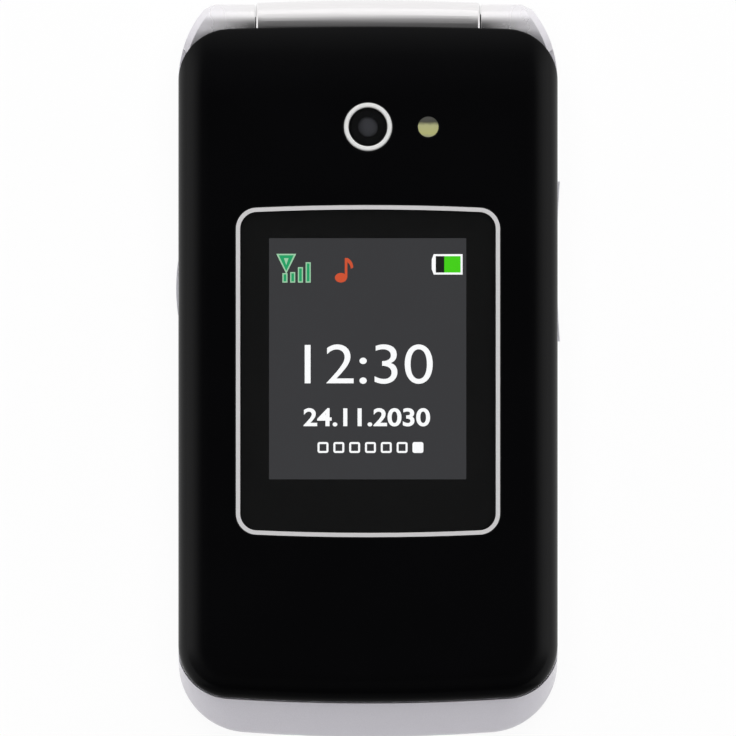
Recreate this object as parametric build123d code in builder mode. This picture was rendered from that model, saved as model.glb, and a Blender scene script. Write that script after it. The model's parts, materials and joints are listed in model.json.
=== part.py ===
from build123d import *

import os
from math import asin, cos, degrees, radians

# Folding mobile phone, closed and lying on its back. Millimetres, +Z up.
# +Y points to the hinge, +X to the right of someone looking down on the lid.
# The origin is the centre of the footprint, on the surface that the phone lies on.

# ---------------------------------------------------------------- driving dimensions
# Whole phone
body_width = 54.0
body_length = 105.0
fixed_clearance = 0.05  # between pieces of one body
moving_clearance = 0.3  # between lid and base around the hinge

# Base plan
shoulder_radius = 16.0  # side wall turning in towards the hinge ears
shoulder_setback = 7.3  # where it starts, from the hinge axis
chin_corner_radius = 10.0
chin_crown = 1.5
back_corner_radius = 4.5
back_edge_radius = 3.2
base_overhang = 0.5  # rear end wall beyond the hinge axis

# Base stack, from the back upwards
cover_wall = 1.2
battery_gap = 0.3
battery_thickness = 4.8
battery_play = 0.1
bay_ceiling = 0.7
board_thickness = 0.8
dome_height = 0.3
mat_thickness = 0.6
key_travel = 0.4
frame_lift = 0.35  # keypad frame above the rubber mat
frame_thickness = 1.6
rim_step = 0.55  # silver rim above the keypad frame
closing_gap = 0.5  # rim to lid when closed

# Base walls and plan insets
rim_width = 2.2
frame_ledge = 3.0
back_wall = 1.2
cover_side_wall = 1.8
cover_split_z = 3.5
cover_end_setback = 32.3  # from the hinge axis
cover_end_bow = 2.5
cover_clearance = 0.1
thumb_groove_width = 0.8
thumb_groove_pitch = 2.4
thumb_groove_length = 14.0
thumb_groove_depth = 0.4
thumb_groove_count = 4
thumb_groove_setback = 7.2  # middle groove from the cover's end

# Chin
chin_reach = 5.05  # chin tip beyond the free end of the lid
chin_gap = 0.2
lip_height = 2.1  # chin lip above the rim
lip_rise = 2.0  # length over which the lip rises from the rim
lip_setback = 4.85  # where it has risen, from the free end of the lid
chin_edge_z = 7.4
chin_edge_radius = 2.0
chin_edge_reach = 5.5  # the rounding of that edge ends this far from the chin's end

# Hinge
barrel_radius = 4.2
ear_radius = 3.6
barrel_chamfer = 0.3
barrel_length = 31.7
knuckle_gap = 0.25
lid_overhang = 0.4
cartridge_radius = 3.1
cartridge_length = 14.0
cartridge_chamfer = 0.2
shaft_radius = 1.85
shaft_flat = 1.4
journal_radius = 1.6
journal_length = 7.0
journal_chamfer = 0.3
shaft_seat_depth = 5.2
bush_radius = 2.2
bush_bore = 1.7
bush_length = 4.6
bush_seat_depth = 3.0
end_web = 1.5
neck_length = 8.0
neck_width = 29.0
neck_height = 2.0
running_clearance = 0.04
ear_chamfer = 0.9

# Lid plan and section
lid_thickness = 8.0
lid_edge_radius = 4.2
lid_hinge_corner = 7.4
lid_free_corner = 7.4
lid_hinge_crown = 0.65
lid_free_crown = 1.2
side_wall = 1.3
inner_plate = 0.9  # visible rim of the inner cover
tongue_height = 0.4
inner_edge_chamfer = 0.4
hinge_slope_length = 9.7
hinge_slope_drop = 2.3

# Outer display
window_width = 37.56
window_length = 47.2
window_centre_y = -0.34
window_bow = 0.5
window_corner = 3.0
window_depth = 1.05
window_floor = 0.5
trim_width = 0.6
trim_proud = 0.08
view_width = 31.0
view_length = 38.0
outer_view_y = 1.42
outer_panel_width = 33.6
outer_panel_length = 42.0

# Camera and flash
camera_setback = 13.9  # from the hinge axis
ring_radius = 3.45
ring_width = 0.7
ring_proud = 0.12
ring_depth = 1.0
ring_chamfer = 0.17
camera_glass_sink = 0.12
camera_glass_thickness = 0.5
camera_barrel_radius = 2.45
camera_base_size = 7.6
camera_base_height = 1.9
camera_pupil_radius = 1.53
lens_sagitta = 0.33
flash_x = 8.57
flash_radius = 1.45
led_size = 2.0
led_height = 0.6

# Inner display and lid electronics
inner_window_side = 4.0  # bezels round the window
inner_window_front = 8.95
inner_window_rear = 22.7
inner_window_corner = 2.0
inner_window_thickness = 0.75
inner_window_sink = 0.05
inner_view_side = 4.0  # printed border of the window
inner_view_end = 7.05
main_panel_side = 1.65  # window beyond the display panel
main_panel_end = 2.25
main_panel_thickness = 2.2
midframe_thickness = 0.6
lid_board_thickness = 0.6
lid_board_setback = 2.0  # from the hinge end of the cavity
lid_board_width = 38.0
lid_board_room = 0.4
flex_chamber_radius = 3.3
cartridge_flat = 2.7
magnet_width = 6.0
magnet_length = 3.0
magnet_height = 1.8
magnet_x = 13.0
magnet_setback = 4.25  # from the free end of the lid
earpiece_setback = 4.85
earpiece_slot_length = 9.0
earpiece_slot_width = 1.5
earpiece_length = 14.0
earpiece_width = 5.6
earpiece_height = 2.4
earpiece_corner = 1.8
mesh_thickness = 0.25

# Fasteners and bumpers
screw_radius = 0.8
screw_head_radius = 1.5
screw_head_height = 0.8
screw_clearance = 0.1
screw_bite = 1.2  # of the base screws in the keypad frame
boss_wall = 0.9
lid_screw_inset = 5.4  # from the side wall
lid_screw_setback = 6.2  # from the free end of the lid
lid_screw_length = 4.0
bumper_depth = 0.6  # of each rubber plug in its screw hole
bumper_gap = 0.1
base_screw_inset = 3.4
base_screw_front = 9.45  # from the free end of the lid
base_screw_rear = 18.0  # from the end of the battery cover

# Keypad
key_gap = 0.2
key_proud = 0.4  # key top above the keypad frame
key_seat_gap = 0.05
key_chamfer = 0.25
key_field_margin = 3.2  # keypad frame on either side of the number keys
number_end_margin = 8.85  # number keys to the free end of the lid
number_rows = 4
number_corner = 2.0
number_bow = 1.0  # rows sag by this in the middle
column_gap = 0.3
row_gap = 1.2
mat_rim = 1.2
mat_corner = 2.6
function_inset = 0.4  # function keys within the width of the number keys
function_inner_x = 6.8
soft_offset = 5.0  # from the middle of the navigation ring
soft_length = 8.8
call_offset = 6.8
call_length = 11.6
function_corner = 1.0
clear_offset = 11.3
clear_width = 10.4
clear_length = 3.6
nav_setback = 21.3  # from the hinge axis
nav_radius = 8.2
nav_gap = 1.4
ring_bore_radius = 4.0
ok_radius = 3.6

# Side keys
rocker_setback = 33.0  # from the hinge axis
rocker_length = 22.8
side_key_setback = 36.8
side_key_length = 8.6
side_key_height = 3.0
side_key_z = 7.4
side_key_proud = 0.35
side_key_depth = 2.7
side_key_flange = 0.6
side_flange_thickness = 0.7
side_key_gap = 0.15
side_key_travel = 0.3
switch_width = 1.6
switch_length = 3.4
switch_height = 2.6
plunger_width = 1.2
waist_length = 6.0
rocker_waist = 0.08  # hollow of the rocker on either side of its waist

# Battery bay and electronics
battery_side = 9.0  # battery to the side of the phone
battery_front = 11.0  # battery to the chin's end
battery_rear = 11.5  # battery to the end of the battery cover
battery_corner = 1.0
bay_clearance = 0.3
service_setback = 1.4  # from the end of the battery cover
service_side = 2.0
speaker_inset = 13.5  # from the side of the phone
speaker_setback = 20.5  # from the hinge axis
speaker_radius = 7.8
speaker_height = 3.4
speaker_step = 1.1
speaker_magnet_radius = 5.2
slot_count = 6
slot_pitch = 2.0
slot_width = 0.9
slot_length = 9.0
motor_inset = 10.0
motor_setback = 19.3
motor_radius = 4.0
motor_height = 2.8
motor_chamfer = 0.28
can_height = 1.6
can_length = 9.0
can_width = 14.0
can_pitch = 17.0
can_margin = 2.05
can_corner = 0.6
antenna_width = 34.0
antenna_length = 4.0
antenna_wall = 1.0
antenna_cells = 3
terminal_count = 4
terminal_pitch = 2.5
terminal_width = 1.25
terminal_height = 2.4
terminal_x = 10.0
contact_depth = 2.4
contact_finger_width = 0.6
sim_side = 2.25  # holder to the side of the room it lies in
sim_width = 15.5
sim_height = 1.5
sim_sheet = 0.25
sim_window_width = 7.75
usb_width = 7.5
usb_height = 2.7
usb_length = 5.6
usb_wall = 0.3
usb_setback = 0.5
usb_corner = 0.9
usb_tongue_width = 3.75
tab_width = 12.0
tab_room = 1.0
microphone_x = 14.0
microphone_setback = 7.05  # from the free end of the lid
microphone_width = 3.8
microphone_length = 2.6
microphone_hole = 0.5
flex_thickness = 0.2
flex_width = 7.0
connector_length = 3.5
connector_gap = 0.5
tail_width = 2.6

# ---------------------------------------------------------------- derived levels
half_width = body_width / 2
chin_end_y = -body_length / 2
hinge_y = body_length / 2 - barrel_radius
base_end_y = hinge_y + base_overhang
shoulder_y = hinge_y - shoulder_setback
cover_end_y = hinge_y - cover_end_setback
cavity_x = half_width - rim_width - frame_ledge

battery_z = cover_wall + battery_gap
ceiling_z = battery_z + battery_thickness + battery_play
board_z = ceiling_z + bay_ceiling
board_top_z = board_z + board_thickness
mat_z = board_top_z + dome_height
mat_top_z = mat_z + mat_thickness
frame_z = mat_top_z + frame_lift
deck_z = frame_z + frame_thickness
rim_z = deck_z + rim_step
key_z = mat_top_z + key_travel + key_seat_gap
key_top_z = deck_z + key_proud

lid_z = rim_z + closing_gap
lid_split_z = lid_z + inner_plate
lid_floor_z = lid_split_z + tongue_height
lid_top_z = lid_z + lid_thickness
hinge_z = (rim_z + lid_z) / 2
lid_free_y = chin_end_y + chin_reach
lid_hinge_y = hinge_y + lid_overhang

main_panel_z = lid_floor_z
midframe_z = main_panel_z + main_panel_thickness
lid_board_z = midframe_z + midframe_thickness
window_seat_z = lid_top_z - window_depth

barrel_half = barrel_length / 2
ear_start = barrel_half + knuckle_gap
hinge_wall_y = hinge_y - barrel_radius - moving_clearance - back_wall  # cavities end here
base_screw_front_y = lid_free_y + base_screw_front
base_screw_rear_y = cover_end_y - base_screw_rear
base_screw_mid_y = (base_screw_front_y + base_screw_rear_y) / 2
base_screw_pitch_x = 2 * (half_width - base_screw_inset)
base_screw_pitch_y = base_screw_rear_y - base_screw_front_y
lid_screw_y = lid_free_y + lid_screw_setback
lid_screw_pitch_x = 2 * (half_width - lid_screw_inset)
rocker_y = hinge_y - rocker_setback
side_key_y = hinge_y - side_key_setback
camera_y = hinge_y - camera_setback

battery_width = 2 * (half_width - battery_side)
battery_rear_y = cover_end_y - battery_rear
battery_length = battery_rear_y - chin_end_y - battery_front
service_width = battery_width + 2 * service_side
service_end_y = cover_end_y - service_setback
sim_x = sim_side + (sim_width - service_width) / 2
terminal_z = battery_z + battery_thickness / 2
speaker_x = speaker_inset - half_width
speaker_y = hinge_y - speaker_setback
motor_x = half_width - motor_inset
motor_y = hinge_y - motor_setback
can_x = cavity_x - can_margin - (can_width + can_pitch) / 2
microphone_y = lid_free_y + microphone_setback

nav_y = hinge_y - nav_setback
soft_y = nav_y + soft_offset
call_y = nav_y - call_offset
clear_y = nav_y - clear_offset
key_field_half = half_width - rim_width - key_field_margin
function_outer_x = key_field_half - function_inset
number_field_top = clear_y - clear_length / 2 - row_gap / 2
number_pitch_x = (2 * key_field_half + column_gap) / 3
number_pitch_y = (number_field_top - lid_free_y - number_end_margin) / number_rows
number_width = number_pitch_x - column_gap
number_length = number_pitch_y - row_gap
number_top_y = number_field_top - number_pitch_y / 2

inner_window_width = 2 * (half_width - inner_window_side)
inner_window_length = lid_hinge_y - inner_window_rear - lid_free_y - inner_window_front
inner_window_y = lid_free_y + inner_window_front + inner_window_length / 2
inner_view_width = inner_window_width - 2 * inner_view_side
inner_view_length = inner_window_length - 2 * inner_view_end
main_panel_width = inner_window_width - 2 * main_panel_side
main_panel_length = inner_window_length - 2 * main_panel_end
magnet_y = lid_free_y + magnet_setback
earpiece_y = lid_free_y + earpiece_setback


os.makedirs("parts", exist_ok=True)


def save(builder, name):
    """Label a finished piece and write it as its own STEP file."""
    builder.part.label = name
    export_step(builder.part, f"parts/{name}.step")


# ---------------------------------------------------------------- shared outlines
with BuildSketch() as base_plan:
    shoulder_x = half_width - shoulder_radius
    shoulder_turn = degrees(asin((base_end_y - shoulder_y) / shoulder_radius))
    end_half_width = shoulder_x + shoulder_radius * cos(radians(shoulder_turn))
    chin_side_y = chin_end_y + chin_crown
    with BuildLine():
        CenterArc((shoulder_x, shoulder_y), shoulder_radius, 0, shoulder_turn)
        Line((end_half_width, base_end_y), (-end_half_width, base_end_y))
        CenterArc((-shoulder_x, shoulder_y), shoulder_radius, 180 - shoulder_turn, shoulder_turn)
        Line((-half_width, shoulder_y), (-half_width, chin_side_y))
        ThreePointArc((-half_width, chin_side_y), (0, chin_end_y), (half_width, chin_side_y))
        Line((half_width, chin_side_y), (half_width, shoulder_y))
    make_face()
    fillet(base_plan.vertices().group_by(Axis.Y)[0], chin_corner_radius)
    fillet(base_plan.vertices().group_by(Axis.Y)[-1], back_corner_radius)


def lid_outline(end_y):
    """The lid's outline, with its hinge end at end_y."""
    free_side_y = lid_free_y + lid_free_crown
    hinge_side_y = end_y - lid_hinge_crown
    with BuildSketch() as outline:
        with BuildLine():
            Line((-half_width, free_side_y), (-half_width, hinge_side_y))
            ThreePointArc((-half_width, hinge_side_y), (0, end_y), (half_width, hinge_side_y))
            Line((half_width, hinge_side_y), (half_width, free_side_y))
            ThreePointArc((half_width, free_side_y), (0, lid_free_y), (-half_width, free_side_y))
        make_face()
        fillet(outline.vertices().group_by(Axis.Y)[0], lid_free_corner)
        fillet(outline.vertices().group_by(Axis.Y)[-1], lid_hinge_corner)
    return outline.sketch


lid_plan = lid_outline(lid_hinge_y)


def front_half(plan):
    """The half of an outline on the chin's side of the middle."""
    with BuildSketch() as front:
        add(plan)
        Rectangle(2 * body_width, body_length, align=(Align.CENTER, Align.MIN), mode=Mode.SUBTRACT)
    return front.sketch


def inset_plan(plan, inset, end_y):
    """An outline moved inwards and cut off square at end_y towards the hinge."""
    with BuildSketch() as inner:
        add(plan)
        offset(amount=-inset)
        with Locations((0, end_y)):
            Rectangle(
                2 * body_width, body_length, align=(Align.CENTER, Align.MIN), mode=Mode.SUBTRACT
            )
    return inner.sketch


def window_outline(inset):
    """The outer display's outline: straight sides, bowed ends and round corners."""
    half_x = window_width / 2
    half_y = window_length / 2 - window_bow
    with BuildSketch() as outline:
        with BuildLine():
            Line((-half_x, -half_y), (-half_x, half_y))
            ThreePointArc((-half_x, half_y), (0, window_length / 2), (half_x, half_y))
            Line((half_x, half_y), (half_x, -half_y))
            ThreePointArc((half_x, -half_y), (0, -window_length / 2), (-half_x, -half_y))
        make_face()
        fillet(outline.vertices(), window_corner)
        if inset:
            offset(amount=-inset)
    return Pos(0, window_centre_y) * outline.sketch


def hinge_rod(x_start, x_end, radius, flat=None):
    """A rod on the hinge axis, with two flats where flat is given."""
    with BuildPart() as rod:
        with BuildSketch(Plane.YZ.offset(x_start)):
            with Locations((hinge_y, hinge_z)):
                Circle(radius)
                if flat:
                    Rectangle(2 * radius, 2 * flat, mode=Mode.INTERSECT)
        extrude(amount=x_end - x_start)
    return rod.part


ear_pockets = (
    hinge_rod(barrel_half, half_width, ear_radius + moving_clearance),
    hinge_rod(-half_width, -barrel_half, ear_radius + moving_clearance),
)
barrel_pocket = hinge_rod(-barrel_half, barrel_half, barrel_radius + fixed_clearance)
barrel_trough = hinge_rod(-ear_start, ear_start, barrel_radius + moving_clearance)


# ---------------------------------------------------------------- base: outer form
lip_z = rim_z + lip_height
lip_y = lid_free_y + lip_setback

# The chin slopes from the outline of the lid's free end down to that of the base
with BuildPart() as chin_slope:
    with BuildSketch():
        add(front_half(base_plan.sketch))
    extrude(amount=chin_edge_z)
    with BuildSketch(Plane.XY.offset(chin_edge_z)):
        add(front_half(base_plan.sketch))
    with BuildSketch(Plane.XY.offset(lip_z)):
        add(front_half(lid_plan))
    loft(ruled=True)

with BuildPart() as chin_end:
    add(chin_slope.part)
    with BuildSketch():
        with Locations((0, chin_end_y + chin_edge_reach)):
            Rectangle(2 * body_width, body_length, align=(Align.CENTER, Align.MIN))
    extrude(amount=2 * lip_z, mode=Mode.SUBTRACT)
    chin_edges = chin_end.edges().filter_by(
        lambda edge: edge.bounding_box().size.Z < fixed_clearance
        and abs(edge.center().Z - chin_edge_z) < fixed_clearance
    )
    fillet(chin_edges, chin_edge_radius)

with BuildPart() as base_form:
    add(chin_slope.part)
    with BuildSketch():
        with Locations((0, chin_end_y + chin_edge_reach)):
            Rectangle(2 * body_width, body_length, align=(Align.CENTER, Align.MAX))
    extrude(amount=2 * lip_z, mode=Mode.SUBTRACT)
    add(chin_end.part)
    with BuildSketch():
        add(base_plan.sketch)
        Rectangle(2 * body_width, body_length, align=(Align.CENTER, Align.MAX), mode=Mode.SUBTRACT)
    extrude(amount=rim_z)
    fillet(base_form.edges().group_by(Axis.Z)[0], back_edge_radius)
    # Air above the rim, up to the rise of the lip
    with BuildSketch(Plane.YZ.offset(-body_width)):
        with BuildLine():
            Polyline(
                (body_length, rim_z),
                (lip_y + lip_rise, rim_z),
                (lip_y, lip_z),
                (lip_y, 2 * lip_z),
                (body_length, 2 * lip_z),
                (body_length, rim_z),
            )
        make_face()
    extrude(amount=2 * body_width, mode=Mode.SUBTRACT)
    # Room for the free end of the lid
    with BuildSketch(Plane.XY.offset(rim_z)):
        add(front_half(lid_plan))
        offset(amount=chin_gap)
    extrude(amount=lid_thickness, mode=Mode.SUBTRACT)


def cover_zone(gap):
    """Plan of the battery cover: everything on the chin side of a line bowed to the hinge."""
    end_y = cover_end_y - gap
    with BuildSketch() as zone:
        with BuildLine():
            SagittaArc((-half_width, end_y), (half_width, end_y), cover_end_bow)
            Polyline(
                (half_width, end_y),
                (body_width, end_y),
                (body_width, -body_length),
                (-body_width, -body_length),
                (-body_width, end_y),
                (-half_width, end_y),
            )
        make_face()
    return zone.sketch


# ---------------------------------------------------------------- base: rear housing
with BuildPart() as right_ear:
    add(hinge_rod(ear_start, half_width, ear_radius))
    with BuildSketch():
        with Locations((shoulder_x, shoulder_y)):
            Circle(shoulder_radius)
    extrude(amount=lid_top_z, mode=Mode.INTERSECT)
    chamfer(right_ear.faces().sort_by(Axis.X)[-1].edges(), ear_chamfer)

with BuildPart() as rear_housing:
    add(base_form.part)
    add(right_ear.part)
    add(mirror(right_ear.part, about=Plane.YZ, mode=Mode.PRIVATE))
    add(barrel_trough, mode=Mode.SUBTRACT)
    # Step for the battery cover
    with BuildSketch():
        add(cover_zone(0))
    extrude(amount=cover_split_z, mode=Mode.SUBTRACT)
    # Seat of the keypad frame, and the room for the board below it
    with BuildSketch(Plane.XY.offset(frame_z)):
        add(inset_plan(lid_plan, rim_width, hinge_wall_y))
    extrude(amount=rim_z - frame_z, mode=Mode.SUBTRACT)
    with BuildSketch(Plane.XY.offset(board_z)):
        add(inset_plan(lid_plan, rim_width + frame_ledge, hinge_wall_y))
    extrude(amount=frame_z - board_z, mode=Mode.SUBTRACT)
    # Battery bay, with the contacts and the SIM holder behind it
    bay_width = battery_width + 2 * bay_clearance
    bay_length = battery_length + 2 * bay_clearance
    bay_rear_y = battery_rear_y + bay_clearance
    with BuildSketch(Plane.XY.offset(cover_split_z)):
        with Locations((0, bay_rear_y)):
            Rectangle(bay_width, bay_length, align=(Align.CENTER, Align.MAX))
    extrude(amount=ceiling_z - cover_split_z, mode=Mode.SUBTRACT)
    with BuildSketch(Plane.XY.offset(cover_split_z)):
        with Locations((0, bay_rear_y)):
            Rectangle(
                service_width, service_end_y - bay_rear_y, align=(Align.CENTER, Align.MIN)
            )
    extrude(amount=board_z - cover_split_z, mode=Mode.SUBTRACT)
    # Room behind the upper back for the loudspeaker, the motor and the antenna
    upper_start_y = cover_end_y + cover_end_bow + back_wall
    with BuildSketch(Plane.XY.offset(back_wall)):
        add(inset_plan(base_plan.sketch, rim_width + frame_ledge, hinge_wall_y))
        with Locations((0, upper_start_y)):
            Rectangle(
                2 * body_width, 2 * body_length, align=(Align.CENTER, Align.MAX), mode=Mode.SUBTRACT
            )
    extrude(amount=board_z - back_wall, mode=Mode.SUBTRACT)
    # Loudspeaker grille
    with BuildSketch():
        with Locations((speaker_x, speaker_y)):
            with GridLocations(0, slot_pitch, 1, slot_count):
                Rectangle(slot_length, slot_width)
    extrude(amount=back_wall, mode=Mode.SUBTRACT)
    # Charge port and the board tab that carries it
    port_y = chin_end_y + usb_setback
    with BuildSketch(Plane.XY.offset(board_z - usb_height - fixed_clearance)):
        with Locations((0, port_y + usb_length + fixed_clearance)):
            Rectangle(
                usb_width + 2 * fixed_clearance,
                usb_length + 2 * usb_setback,
                align=(Align.CENTER, Align.MAX),
            )
    extrude(amount=usb_height + fixed_clearance, mode=Mode.SUBTRACT)
    tab_end_y = port_y + tab_room
    board_end_y = lid_free_y + rim_width + frame_ledge
    with BuildSketch(Plane.XY.offset(board_z)):
        with Locations((0, tab_end_y)):
            Rectangle(
                tab_width,
                board_end_y + lid_free_crown - tab_end_y,
                align=(Align.CENTER, Align.MIN),
            )
    extrude(amount=board_thickness + fixed_clearance, mode=Mode.SUBTRACT)
    # Screw holes up into the keypad frame
    with BuildSketch(Plane.XY.offset(cover_split_z)):
        with Locations((0, base_screw_mid_y)):
            with GridLocations(base_screw_pitch_x, base_screw_pitch_y, 2, 2):
                Circle(screw_head_radius + screw_clearance)
    extrude(amount=screw_head_height, mode=Mode.SUBTRACT)
    with BuildSketch(Plane.XY.offset(cover_split_z)):
        with Locations((0, base_screw_mid_y)):
            with GridLocations(base_screw_pitch_x, base_screw_pitch_y, 2, 2):
                Circle(screw_radius + screw_clearance)
    extrude(amount=frame_z - cover_split_z, mode=Mode.SUBTRACT)
    # Slots for the side keys, wider inside the wall for their flanges
    side_slot_height = side_key_height + 2 * side_key_gap
    flange_x = half_width + side_key_proud - side_key_depth + side_flange_thickness
    wall_inner_x = flange_x + side_key_gap
    slot_z = side_key_z - side_slot_height / 2
    for side, key_y, length in ((1, rocker_y, rocker_length), (-1, side_key_y, side_key_length)):
        slot_span = length + 2 * side_key_gap
        with BuildSketch(Plane.XY.offset(slot_z)):
            with Locations((side * half_width, key_y)):
                Rectangle(2 * (half_width - cavity_x), slot_span)
        extrude(amount=side_slot_height, mode=Mode.SUBTRACT)
        with BuildSketch(Plane.XY.offset(slot_z)):
            with Locations((side * (wall_inner_x + cavity_x) / 2, key_y)):
                Rectangle(wall_inner_x - cavity_x, slot_span + 2 * side_key_flange)
        extrude(amount=frame_z - slot_z, mode=Mode.SUBTRACT)
    # Sockets of the hinge: flats for the shaft on the left, a bore for the bush on the right
    add(
        hinge_rod(
            -ear_start - shaft_seat_depth,
            -ear_start,
            shaft_radius + fixed_clearance,
            shaft_flat + fixed_clearance,
        ),
        mode=Mode.SUBTRACT,
    )
    add(
        hinge_rod(ear_start, ear_start + bush_seat_depth, bush_radius + fixed_clearance),
        mode=Mode.SUBTRACT,
    )
    # Way of the flex cable from the bush to the board
    flex_x = ear_start + bush_seat_depth + tail_width / 2
    add(
        hinge_rod(ear_start, flex_x + tail_width / 2 + knuckle_gap, bush_bore),
        mode=Mode.SUBTRACT,
    )
    with BuildSketch(Plane.XY.offset(hinge_z - bush_radius - bush_bore)):
        with Locations((flex_x, hinge_y + bush_bore)):
            Rectangle(
                tail_width + 2 * knuckle_gap,
                hinge_y + bush_bore - hinge_wall_y + tail_width + knuckle_gap,
                align=(Align.CENTER, Align.MAX),
            )
    extrude(amount=bush_radius + bush_bore, mode=Mode.SUBTRACT)

save(rear_housing, "rear_housing")

# ---------------------------------------------------------------- base: battery cover
with BuildPart() as battery_cover:
    add(base_form.part)
    with BuildSketch():
        add(cover_zone(cover_clearance))
    extrude(amount=cover_split_z - cover_clearance, mode=Mode.INTERSECT)
    with BuildSketch(Plane.XY.offset(cover_wall)):
        add(inset_plan(base_plan.sketch, cover_side_wall, cover_end_y - cover_side_wall))
    extrude(amount=cover_split_z, mode=Mode.SUBTRACT)
    # Thumb grooves
    with BuildSketch():
        with Locations((0, cover_end_y - thumb_groove_setback)):
            with GridLocations(0, thumb_groove_pitch, 1, thumb_groove_count):
                Rectangle(thumb_groove_length, thumb_groove_width)
    extrude(amount=thumb_groove_depth, mode=Mode.SUBTRACT)

save(battery_cover, "battery_cover")

# ---------------------------------------------------------------- base: battery
with BuildPart() as battery_pack:
    with BuildSketch(Plane.XY.offset(battery_z)):
        with Locations((0, battery_rear_y)):
            Rectangle(battery_width, battery_length, align=(Align.CENTER, Align.MAX))
    extrude(amount=battery_thickness)
    fillet(battery_pack.edges().filter_by(Axis.Y), battery_corner)
    # Recessed terminals at the rear end
    with BuildSketch(Plane.XZ.offset(-battery_rear_y)):
        with Locations((terminal_x, terminal_z)):
            with GridLocations(terminal_pitch, 0, terminal_count, 1):
                Rectangle(terminal_width, terminal_height)
    extrude(amount=bay_clearance, mode=Mode.SUBTRACT)

save(battery_pack, "battery_pack")

with BuildPart() as battery_contacts:
    contact_z = board_z - terminal_height
    with BuildSketch(Plane.XY.offset(contact_z)):
        with Locations((terminal_x, bay_rear_y + fixed_clearance)):
            Rectangle(
                (terminal_count + 1) * terminal_pitch, contact_depth, align=(Align.CENTER, Align.MIN)
            )
    extrude(amount=terminal_height)
    # Sprung fingers that reach into the battery's terminals
    with BuildSketch(Plane.XY.offset(contact_z)):
        with Locations((terminal_x, battery_rear_y - bay_clearance / 2)):
            with GridLocations(terminal_pitch, 0, terminal_count, 1):
                Rectangle(contact_finger_width, contact_depth, align=(Align.CENTER, Align.MIN))
    extrude(amount=terminal_z + terminal_height / 2 - fixed_clearance - contact_z)

save(battery_contacts, "battery_contacts")

with BuildPart() as sim_card_holder:
    sim_length = service_end_y - bay_rear_y - 2 * bay_clearance
    with BuildSketch(Plane.XY.offset(board_z - sim_height)):
        with Locations((sim_x, bay_rear_y + bay_clearance)):
            Rectangle(sim_width, sim_length, align=(Align.CENTER, Align.MIN))
    extrude(amount=sim_height)
    # The slot for the card, open towards the battery, and the window in the sheet
    with BuildSketch(Plane.XY.offset(board_z - sim_height + sim_sheet)):
        with Locations((sim_x, bay_rear_y)):
            Rectangle(
                sim_width - 2 * sim_sheet, sim_length - sim_sheet, align=(Align.CENTER, Align.MIN)
            )
    extrude(amount=sim_height - 2 * sim_sheet, mode=Mode.SUBTRACT)
    with BuildSketch(Plane.XY.offset(board_z - sim_height)):
        with Locations((sim_x, (bay_rear_y + service_end_y) / 2)):
            Rectangle(sim_window_width, sim_length / 2)
    extrude(amount=sim_sheet, mode=Mode.SUBTRACT)

save(sim_card_holder, "sim_card_holder")

# ---------------------------------------------------------------- base: board and what it carries
with BuildPart() as main_board:
    with BuildSketch(Plane.XY.offset(board_z)):
        add(inset_plan(lid_plan, rim_width + frame_ledge + fixed_clearance, hinge_wall_y))
        with Locations((0, tab_end_y + fixed_clearance)):
            Rectangle(
                tab_width - 2 * fixed_clearance,
                board_end_y + lid_free_crown - tab_end_y,
                align=(Align.CENTER, Align.MIN),
            )
        with Locations((0, hinge_wall_y)):
            Rectangle(
                2 * body_width, fixed_clearance, align=(Align.CENTER, Align.MAX), mode=Mode.SUBTRACT
            )
    extrude(amount=board_thickness)
    # Microphone under its hole in the keypad frame
    with BuildSketch(Plane.XY.offset(board_top_z)):
        with Locations((microphone_x, microphone_y)):
            Rectangle(microphone_width, microphone_length)
    extrude(amount=frame_z - board_top_z - fixed_clearance)
    with BuildSketch(Plane.XY.offset(frame_z - fixed_clearance)):
        with Locations((microphone_x, microphone_y)):
            Circle(microphone_hole)
    extrude(amount=-microphone_hole, mode=Mode.SUBTRACT)

save(main_board, "main_board")

with BuildPart() as charge_port:
    with BuildSketch(Plane.XZ.offset(-port_y)):
        with Locations((0, board_z)):
            RectangleRounded(usb_width, 2 * usb_height, usb_corner)
            Rectangle(2 * usb_width, usb_height, align=(Align.CENTER, Align.MIN), mode=Mode.SUBTRACT)
    extrude(amount=-usb_length)
    # Mouth of the socket, round its tongue
    with BuildSketch(Plane.XZ.offset(-port_y)):
        with Locations((0, board_z - usb_height / 2)):
            Rectangle(usb_width - 4 * usb_wall, usb_height - 2 * usb_wall)
            with Locations((0, usb_wall)):
                Rectangle(usb_tongue_width, usb_wall, mode=Mode.SUBTRACT)
    extrude(amount=-(usb_length - 2 * usb_wall), mode=Mode.SUBTRACT)

save(charge_port, "charge_port")

with BuildPart() as shield_cans:
    with BuildSketch(Plane.XY.offset(board_z - can_height)):
        with Locations((can_x, hinge_wall_y - can_length)):
            with GridLocations(can_pitch, 0, 2, 1):
                Rectangle(can_width, can_length)
    extrude(amount=can_height)
    chamfer(shield_cans.edges().filter_by(Axis.Z), can_corner)

save(shield_cans, "shield_cans")

with BuildPart() as loudspeaker:
    with BuildSketch(Plane.XY.offset(back_wall)):
        with Locations((speaker_x, speaker_y)):
            Circle(speaker_radius)
    extrude(amount=speaker_height - speaker_step)
    # Magnet behind the basket
    with BuildSketch(Plane.XY.offset(back_wall)):
        with Locations((speaker_x, speaker_y)):
            Circle(speaker_magnet_radius)
    extrude(amount=speaker_height)

save(loudspeaker, "loudspeaker")

with BuildPart() as vibration_motor:
    with BuildSketch(Plane.XY.offset(back_wall)):
        with Locations((motor_x, motor_y)):
            Circle(motor_radius)
    extrude(amount=motor_height)
    chamfer(vibration_motor.edges().group_by(Axis.Z)[-1], motor_chamfer)

save(vibration_motor, "vibration_motor")

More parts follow.
